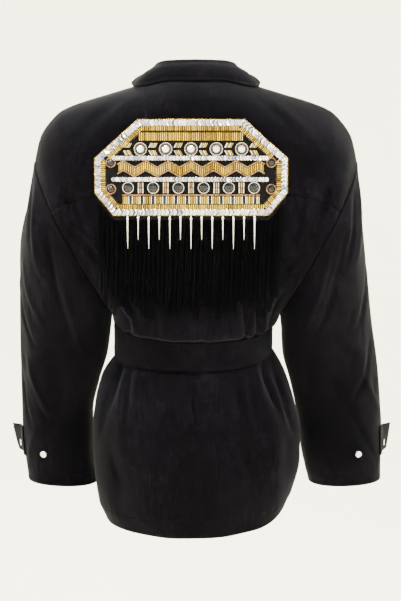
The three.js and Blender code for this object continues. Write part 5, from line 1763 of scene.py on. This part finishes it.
for x in np.arange(-27, 28) * BUGLE_PITCH:
    if abs(x) < field(-80) - 2:
        bar("gold", x, *TOP_BAND)
for z in CHAIN_HEIGHTS:
    level_chain(z)
for x in np.arange(-38, 39) * BUGLE_PITCH:
    bar("gold", x, float(zigzag(x)) + BAND / 2, float(zigzag(x)) - BAND / 2)
line_x = np.arange(-110, 110.1, 2.2)
for side in (1, -1):
    line = np.stack([line_x, zigzag(line_x) + side * (BAND / 2 + 1.6)], axis=-1)
    lay("copper", clear_of_stones(line, 2.5), 0, 1.2, BEAD_LIFT)
print("kinds of bead so far:", len(beadwork))


# %% Settings round the stones
BROWN_BEAD, STEEL_BEAD, COPPER_BEAD = 1.15, 1.05, 1.15
SINK = 0.8


def ring_of(place, radius, count, kind, size):
    """A ring of beads round a stone, sunk a little into the cloth."""
    turn = 2 * np.pi * np.arange(count) / count
    xz = np.array(place) + radius * np.stack([np.cos(turn), np.sin(turn)], axis=-1)
    lay(kind, xz, 0, size, size * SINK)


def stone(kind, place, radius, height):
    lay(kind, place, 0, (radius, radius, height))


for place in row_places(CRYSTAL_ROW):
    ring_of(place, 7.3, 18, "brown", BROWN_BEAD)
    ring_of(place, 9.3, 24, "steel", STEEL_BEAD)
    stone("crystal", place, CRYSTAL_ROW["radius"], CRYSTAL_ROW["height"])
for place in row_places(STUD_ROW):
    ring_of(place, 8.2, 22, "steel", STEEL_BEAD)
    stone("jet", place, STUD_ROW["radius"], STUD_ROW["height"])
for place in CORNER_STUDS:
    ring_of(place, 6.9, 17, "copper", COPPER_BEAD)
    stone("jet", place, CORNER_RADIUS, CORNER_HEIGHT)
print("stones:", CRYSTAL_ROW["count"] + STUD_ROW["count"] + len(CORNER_STUDS))

# %% Bars between the stones and the striped foot
THIN, LEAN = 0.95, (62, 118)
LEAN_HEIGHTS, BAR_HEIGHTS, FOOT_BAND, FOOT_LINE = (-98.5, -109.5), (-158, -166.4), (-175.0, -186.5), -173.0
STRIPES = ["gold", "gold", "gold", "steel_bugle", "jet_bugle", "steel_bugle"]
for between in np.arange(-95.0, 96, CRYSTAL_ROW["pitch"]):
    for k, x in enumerate(np.arange(-4.2, 4.3, 2.8) + between):
        kind = "cream" if k % 2 == 0 else "gold"
        lay(kind, [(x, z) for z in LEAN_HEIGHTS], LEAN, (THIN, THIN, 7.6), BEAD_LIFT)
for between in np.arange(-76.0, 77, STUD_ROW["pitch"]):
    for x in (-3.2, 0, 3.2):
        kind = "copper_bugle" if x == 0 else "cream"
        lay(kind, [(between + x, z) for z in BAR_HEIGHTS], 90, (THIN, THIN, 7.4), BEAD_LIFT)
for k, x in enumerate(np.arange(-36, 37) * BUGLE_PITCH):
    bar(STRIPES[k % len(STRIPES)], x, *FOOT_BAND)
foot_x = line_x[np.abs(line_x) < 104]
lay("copper", np.stack([foot_x, np.full_like(foot_x, FOOT_LINE)], axis=-1), 0, COPPER_BEAD, BEAD_LIFT)
print("kinds of bead:", len(beadwork))

# %% [markdown]
# Until now every bead was only a place and a turn. This step lays them all on the applique and
# makes one mesh of each kind. Sequins lean on one another, so they are tilted along their row and
# shaken a little. Without that they would shine like one flat ribbon.

# %% Make the beads
SEQUIN_TILT, SEQUIN_SHAKE = 0.36, 0.13
STONE_SHARP, BEAD_SHARP = 20, 40
# kind: its shape, its material, and whether its long axis lies in the cloth
BEAD_KINDS = {
    "gold_cord": (SPINDLE, GOLD, True),
    "gold": (ROD, GOLD, True),
    "copper": (BALL, COPPER, False),
    "copper_bugle": (ROD, COPPER, True),
    "jet_bead": (BALL, JET, False),
    "cream": (ROD, CREAM, True),
    "sequin": (LENS, SEQUIN, False),
    "brown": (BALL, BROWN, False),
    "steel": (BALL, STEEL, False),
    "steel_bugle": (ROD, STEEL, True),
    "jet_bugle": (ROD, JET, True),
    "crystal": (GEM, CRYSTAL, False),
    "jet": (GEM, JET, False),
}
for kind, (shape, material, lies) in BEAD_KINDS.items():
    xz, turn, size, lift = (np.concatenate(parts) for parts in zip(*beadwork[kind]))
    points, normals = on_plaque(xz, lift)
    radians = np.radians(turn)
    along = np.stack([np.cos(radians), 0 * radians, np.sin(radians)], axis=-1)
    axes = axes_from(normals, along)
    if kind == "sequin":
        tilt = unit(normals + SEQUIN_TILT * along + rng.normal(0, SEQUIN_SHAKE, normals.shape))
        axes = axes_from(tilt, along)
    if lies:
        axes = axes[:, [1, 2, 0]]
    sharp = STONE_SHARP if kind in ("crystal", "jet") else BEAD_SHARP
    obj = copies("beads_" + kind, shape, points, axes, size, material, sharp)
print("beads:", sum(len(xz) for parts in beadwork.values() for xz, _, _, _ in parts))

# %% [markdown]
# ## Needles
# Slim metal needles hang from the applique's lower edge, each with a collar near its top. Cones
# would lack that collar, so a rod is drawn along a path with its own radius at every point.


# %% Rods along a path
def tube(path, radii, sides):
    """Vertices and faces of a closed rod along a path that nowhere runs along y."""
    path, radii = np.asarray(path, float), np.asarray(radii, float)
    tangent = unit(np.gradient(path, axis=0))
    first = unit(np.cross(tangent, np.array([0, 1.0, 0])))
    second = np.cross(tangent, first)
    turn = 2 * np.pi * np.arange(sides) / sides
    if radii.ndim == 1:
        radii = radii[:, None] * np.ones(sides)
    ring = first[:, None] * np.cos(turn)[None, :, None] + second[:, None] * np.sin(turn)[None, :, None]
    verts = (path[:, None] + ring * radii[..., None]).reshape(-1, 3)
    faces = []
    for j in range(len(path) - 1):
        for i in range(sides):
            a, b = j * sides + i, j * sides + (i + 1) % sides
            faces.append((a, b, b + sides, a + sides))
    end = (len(path) - 1) * sides
    faces.append(tuple(range(sides))[::-1])
    faces.append(tuple(end + i for i in range(sides)))
    return verts, faces


def joined(name, parts, material, sharp=50):
    """One mesh of several parts, each given as its vertices and faces."""
    verts, faces, start = [], [], 0
    for part_verts, part_faces in parts:
        verts.append(part_verts)
        faces += [tuple(start + k for k in face) for face in part_faces]
        start += len(part_verts)
    verts = np.concatenate(verts)
    obj = new_object(name, verts, faces, material, sharp)
    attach(obj, "root")
    return obj


print("rod helpers ready")

# %% Needles
NEEDLE_COUNT, NEEDLE_PITCH, NEEDLE_LIFT, NEEDLE_SIDES = 13, 16, 7.2, 9
NEEDLE_LENGTHS, NEEDLE_OVERLAP, NEEDLE_TOP_LIFTS = (50, 36), 1.5, (3.4, 5.2)
NEEDLE_DROPS = np.array([0, 2.5, 5, 6.5, 9, 12, 20, 30, 40, 50])
NEEDLE_RADII = np.array([0.7, 1.1, 1.9, 2.0, 1.5, 1.35, 1.2, 0.95, 0.7, 0.3])


def needle(index):
    x = PLAQUE_X + (index - (NEEDLE_COUNT - 1) / 2) * NEEDLE_PITCH
    length = NEEDLE_LENGTHS[index % 2] + NEEDLE_OVERLAP
    z = PLAQUE_FOOT + NEEDLE_OVERLAP - NEEDLE_DROPS * length / NEEDLE_DROPS[-1]
    lifts = np.full_like(z, NEEDLE_LIFT)
    lifts[:2] = NEEDLE_TOP_LIFTS
    path, _ = on_back(np.stack([np.full_like(z, x), z], axis=-1), lifts)
    path[:, 0], path[:, 2] = x, z
    path[:, 1] = np.minimum.accumulate(path[:, 1])
    return tube(path, NEEDLE_RADII, NEEDLE_SIDES)


needles = joined("needles", [needle(k) for k in range(NEEDLE_COUNT)], STEEL)
print("needles:", NEEDLE_COUNT)

# %% [markdown]
# ## The fringe
# Fine twisted cords hang plumb from a narrow strip along the applique's lower edge. Some of them
# turn up again at the bottom in a small loop. They lie in two layers over the back.
#
# Blender's hair could grow them, but hair is no solid mesh that other programs can open. Each cord
# is a thin closed rod here, whose section turns on its way down like two twisted threads.

# %% Fringe strip
STRIP_HEIGHT, STRIP_HALF, STRIP_CLOTH = 6.5, 144, 2
STRIP_COLUMNS, STRIP_ROWS, STRIP_MARGINS = 140, 4, (0.6, 0.3)


def lower_edge(x):
    """Height of the applique's lower edge at x."""
    (corner_x, corner_z), (foot_x, foot_z) = HALF_OUTLINE[2:]
    return np.interp(np.abs(np.asarray(x) - PLAQUE_X), [foot_x, corner_x], [foot_z, corner_z])


def make_strip():
    x = PLAQUE_X + np.linspace(-STRIP_HALF, STRIP_HALF, STRIP_COLUMNS)
    drop = np.linspace(STRIP_MARGINS[0], STRIP_HEIGHT + STRIP_MARGINS[1], STRIP_ROWS)
    xz = np.stack(np.broadcast_arrays(x[None], lower_edge(x)[None] - drop[:, None]), axis=-1)
    points, _ = on_back(xz.reshape(-1, 2))
    points = points.reshape(*xz.shape[:2], 3)
    normals = grid_normals(points, -1)
    cloth = {"points": points + normals * (LAY_GAP + STRIP_CLOTH), "normals": normals}
    cloth["flat"] = flat_map(cloth["points"])
    return cloth


strip = make_strip()
STRIP = cloth_object("fringe_strip", strip, STRIP_CLOTH, GROUND)
print("fringe strip:", strip["points"].shape)

# %% Shape of a cord
CORD_COUNT, CORD_SPREAD, CORD_STEP, CORD_RADIUS = 158, 138.5, 2.5, 0.82
CORD_LENGTHS, CORD_DRIFT, CORD_KNOTS, DRIFT_POWER = (124, 154), -4.0, 9, 1.6
TWIST, TWIST_DEPTH, CORD_SIDES, CORD_ENDS = 7.0, 0.16, 6, (0.7, 0.6)
# How far each of the two layers stands off the back, at four shares of the way down.
LIFT_SHARES = [0, 0.16, 0.55, 1]
LIFTS = np.array([(1.6, 1.6), (2.2, 4.2), (2.4, 4.7), (2.6, 4.9)])


def cord_path(index, x, length, layer):
    sway = 1.6 * math.sin(index * 0.155) + 0.7 * math.sin(index * 0.055 + 1) + rng.normal(0, 0.9)
    top = float(lower_edge(x)) - SEAM_GAP - STRIP_HEIGHT / 2
    drop = np.arange(0, length, CORD_STEP)
    share = drop / length
    wave = 0.35 * np.sin(drop / rng.uniform(9, 17) + rng.uniform(0, 6)) * share
    xs = x + (sway + CORD_DRIFT) * share**DRIFT_POWER + wave
    lifts = np.interp(share, LIFT_SHARES, LIFTS[:, layer])
    knots = np.linspace(0, len(drop) - 1, CORD_KNOTS).astype(int)
    base, _ = on_back(np.stack([xs, top - drop], axis=-1)[knots], lifts[knots])
    y = np.minimum.accumulate(np.interp(drop, drop[knots], base[:, 1]))
    return np.stack([xs, y, top - drop], axis=-1)


def twisted(path):
    """A cord of two strands: its section turns on its way down."""
    run = np.arange(len(path)) * CORD_STEP * 2 * np.pi / TWIST
    turn = 2 * np.pi * np.arange(CORD_SIDES) / CORD_SIDES
    radii = CORD_RADIUS * (1 + TWIST_DEPTH * np.cos(2 * turn[None] - run[:, None]))
    radii[0] *= CORD_ENDS[0]
    radii[-1] *= CORD_ENDS[1]
    return tube(path, radii, CORD_SIDES)


def hook(first, second):
    """Joins two cords at the bottom in a loop."""
    a, b = first[-1], second[-1]
    middle, reach = (a + b) / 2, (b - a) / 2
    turn = np.linspace(0, np.pi, 7)[1:-1][:, None]
    bend = middle - reach * np.cos(turn) - UP * np.sin(turn) * abs(reach[0])
    return np.concatenate([first, bend, second[::-1]])


print("cord helpers ready")

# %% Fringe cords
LOOP_CHANCE, LOOP_START, LOOP_SPREAD, CORD_SHARP = 0.42, 0.4, 0.6, 80
cords, index = [], 0
places = PLAQUE_X + np.linspace(-CORD_SPREAD, CORD_SPREAD, CORD_COUNT)
while index < CORD_COUNT:
    layer = (index // 2) % 2
    length = rng.uniform(*CORD_LENGTHS)
    path = cord_path(index, places[index], length, layer)
    if index + 1 < CORD_COUNT and rng.random() < LOOP_CHANCE:
        partner = cord_path(index, places[index + 1] + 0.5, length, layer)
        apart = places[index + 1] - places[index] + LOOP_START
        partner[:, 0] = path[:, 0] + apart + LOOP_SPREAD * np.linspace(0, 1, len(path))
        cords.append(twisted(hook(path, partner)))
        index += 2
    else:
        cords.append(twisted(path))
        index += 1
fringe = joined("fringe_cords", cords, CORD, CORD_SHARP)
print("cords:", len(cords))

# %% [markdown]
# ## What each piece is
# A sewing pattern lists each piece with its flat size. The same is noted here for every cloth,
# measured from its own grid, together with what it lies on or hangs from. A list typed by hand
# would soon be wrong after a change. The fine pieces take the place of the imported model's plain ones.

CLOTHS = {
    "back_yoke": (yoke, "draped", ["collar_cloth"]),
    "back_panel": (panel, "hung", ["yoke_cloth"]),
    "front_left": (fronts["front_left"], "hung", ["yoke_cloth"]),
    "front_right": (fronts["front_right"], "hung", ["yoke_cloth"]),
    "sleeve_left": (sleeves["left"], "hung", ["yoke_cloth", "front_left_cloth"]),
    "sleeve_right": (sleeves["right"], "hung", ["yoke_cloth", "front_right_cloth"]),
    "collar": (collar, "folded", ["yoke_cloth"]),
    "belt": (belt, "stretched", ["back_cloth", "front_left_cloth", "front_right_cloth"]),
    "cuff_tab_left": (tabs["left"], "hung", ["sleeve_left_cloth"]),
    "cuff_tab_right": (tabs["right"], "hung", ["sleeve_right_cloth"]),
}
for node, (cloth, held, rests_on) in CLOTHS.items():
    width, length, area = cloth_size(cloth)
    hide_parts(node)
    print(node, "cut", round(width, 3), "x", round(length, 3), "m, area", round(area, 4))
print("declared:", len(CLOTHS))

width, length, area = cloth_size(plaque)
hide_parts("applique_plaque")
width, length, _ = cloth_size(strip)
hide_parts("fringe")

# %% [markdown]
# ## The studio
# A pale bowl stands round the jacket, with its floor well below. A flat floor and a back wall would
# meet in a visible line, and the bowl's round bend hides it.
#
# Large soft lamps light the jacket from the right, from above and from the left, so that its folds
# show without hard shadows. One more stands in front of it, and four light the bowl's wall.


# %% The bowl
BOWL_RADIUS, BOWL_BEND, BOWL_SIDES, BOWL_RINGS = 2.6, 0.9, 96, 14
BOWL_WALL, BOWL_RIM, FLOOR_Z = 2.0, 3.4, -1.25
PAPER_TONES = [(0.3, (0.965, 0.92, 0.775)), (0.7, (0.975, 0.935, 0.795))]


def bowl_profile():
    """Radius and height of the floor, its bend and the wall, in metres."""
    profile = [(0.0, 0.0), (BOWL_RADIUS, 0.0)]
    for a in np.linspace(0.1, math.pi / 2, BOWL_RINGS):
        profile.append((BOWL_RADIUS + BOWL_BEND * math.sin(a), BOWL_BEND - BOWL_BEND * math.cos(a)))
    wall = BOWL_RADIUS + BOWL_BEND
    return [*profile, (wall, BOWL_WALL), (wall, BOWL_RIM)]


def bowl_mesh(profile):
    verts = [(0, 0, profile[0][1])]
    for radius, height in profile[1:]:
        for i in range(BOWL_SIDES):
            turn = 2 * math.pi * i / BOWL_SIDES
            verts.append((radius * math.cos(turn), radius * math.sin(turn), height))
    faces = [(0, 1 + i, 1 + (i + 1) % BOWL_SIDES) for i in range(BOWL_SIDES)]
    for k in range(len(profile) - 2):
        start = 1 + k * BOWL_SIDES
        for i in range(BOWL_SIDES):
            a, b = start + i, start + (i + 1) % BOWL_SIDES
            faces.append((a, a + BOWL_SIDES, b + BOWL_SIDES, b))
    mesh = bpy.data.meshes.new("studio_floor")
    mesh.from_pydata(verts, [], faces)
    mesh.polygons.foreach_set("use_smooth", [True] * len(mesh.polygons))
    return mesh


def paper_material():
    material, nodes, links, shader = new_material("pale_paper")
    place = nodes.new("ShaderNodeTexCoord").outputs["Object"]
    grain = noise(nodes, links, place, 5, 4)
    links.new(ramp(nodes, links, grain, PAPER_TONES), shader.inputs["Base Color"])
    shader.inputs["Roughness"].default_value = 0.9
    return material


mesh = bowl_mesh(bowl_profile())
mesh.materials.append(paper_material())
floor = bpy.data.objects.new("studio_floor", mesh)
floor.location = (0, 0, FLOOR_Z)
bpy.context.scene.collection.objects.link(floor)
floor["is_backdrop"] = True
print("bowl faces:", len(mesh.polygons))

# %% Lamps and world
JACKET_MIDDLE = (0, 0, -0.34)
WALL_LAMPS, WALL_LAMP_OUT, WALL_LAMP_UP, WALL_LAMP_SIZE, WALL_LAMP_POWER = 4, 1.1, 2.1, 0.8, 105
WALL_TARGET_OUT, WALL_TARGET_UP = 3.5, -0.4
WORLD_COLOUR, WORLD_STRENGTH = (1.0, 0.985, 0.94, 1), 0.45


def soft_lamp(name, place, size, power, target=JACKET_MIDDLE):
    """A round area lamp that faces its target."""
    light = bpy.data.lights.new(name, "AREA")
    light.shape, light.size, light.energy = "DISK", size, power
    lamp = bpy.data.objects.new(name, light)
    lamp.location = place
    lamp.rotation_euler = (Vector(target) - Vector(place)).to_track_quat("-Z", "Y").to_euler()
    bpy.context.scene.collection.objects.link(lamp)


soft_lamp("key_lamp", (2.4, -1.1, 1.7), 0.8, 188)
soft_lamp("fill_lamp", (-2.7, -0.5, 0.9), 1.2, 92)
soft_lamp("top_lamp", (-0.3, -0.8, 2.2), 0.9, 130)
soft_lamp("far_lamp", (-0.6, 2.6, 1.2), 1.4, 110)
for index in range(WALL_LAMPS):
    turn = 2 * math.pi * index / WALL_LAMPS
    side, ahead = math.cos(turn), math.sin(turn)
    place = (WALL_LAMP_OUT * side, WALL_LAMP_OUT * ahead, WALL_LAMP_UP)
    target = (WALL_TARGET_OUT * side, WALL_TARGET_OUT * ahead, WALL_TARGET_UP)
    soft_lamp(f"wall_lamp_{index + 1}", place, WALL_LAMP_SIZE, WALL_LAMP_POWER, target)
world = bpy.data.worlds.new("studio_world")
world.use_nodes = True
background = world.node_tree.nodes["Background"]
background.inputs["Color"].default_value = WORLD_COLOUR
background.inputs["Strength"].default_value = WORLD_STRENGTH
bpy.context.scene.world = world
print("lamps:", len(bpy.data.lights))

# %% [markdown]
# The camera stands behind the jacket at the height of its shoulders and looks slightly down. A long
# lens from further off would flatten the sleeves, and a short one would swell the middle of the back.

# %% Camera
CAMERA_PLACE = (0.0073, -1.8, -0.144)
CAMERA_PITCH, CAMERA_LENS, CAMERA_SENSOR = 6.4, 66.6, 36
camera_data = bpy.data.cameras.new("camera")
camera_data.sensor_width = CAMERA_SENSOR
camera_data.lens = CAMERA_LENS
camera = bpy.data.objects.new("camera", camera_data)
camera.location = CAMERA_PLACE
camera.rotation_euler = (math.radians(90 - CAMERA_PITCH), 0, 0)
bpy.context.scene.collection.objects.link(camera)
bpy.context.scene.camera = camera
print("camera distance:", -CAMERA_PLACE[1], "m")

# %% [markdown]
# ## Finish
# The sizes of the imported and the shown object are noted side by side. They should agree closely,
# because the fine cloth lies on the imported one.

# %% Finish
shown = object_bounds()
sizes = {"packed": [list(map(float, corner)) for corner in PACKED_BOX]}
sizes["shown"] = [list(map(float, corner)) for corner in shown]
print("size:", [round(high - low, 3) for low, high in zip(*sizes["shown"])])
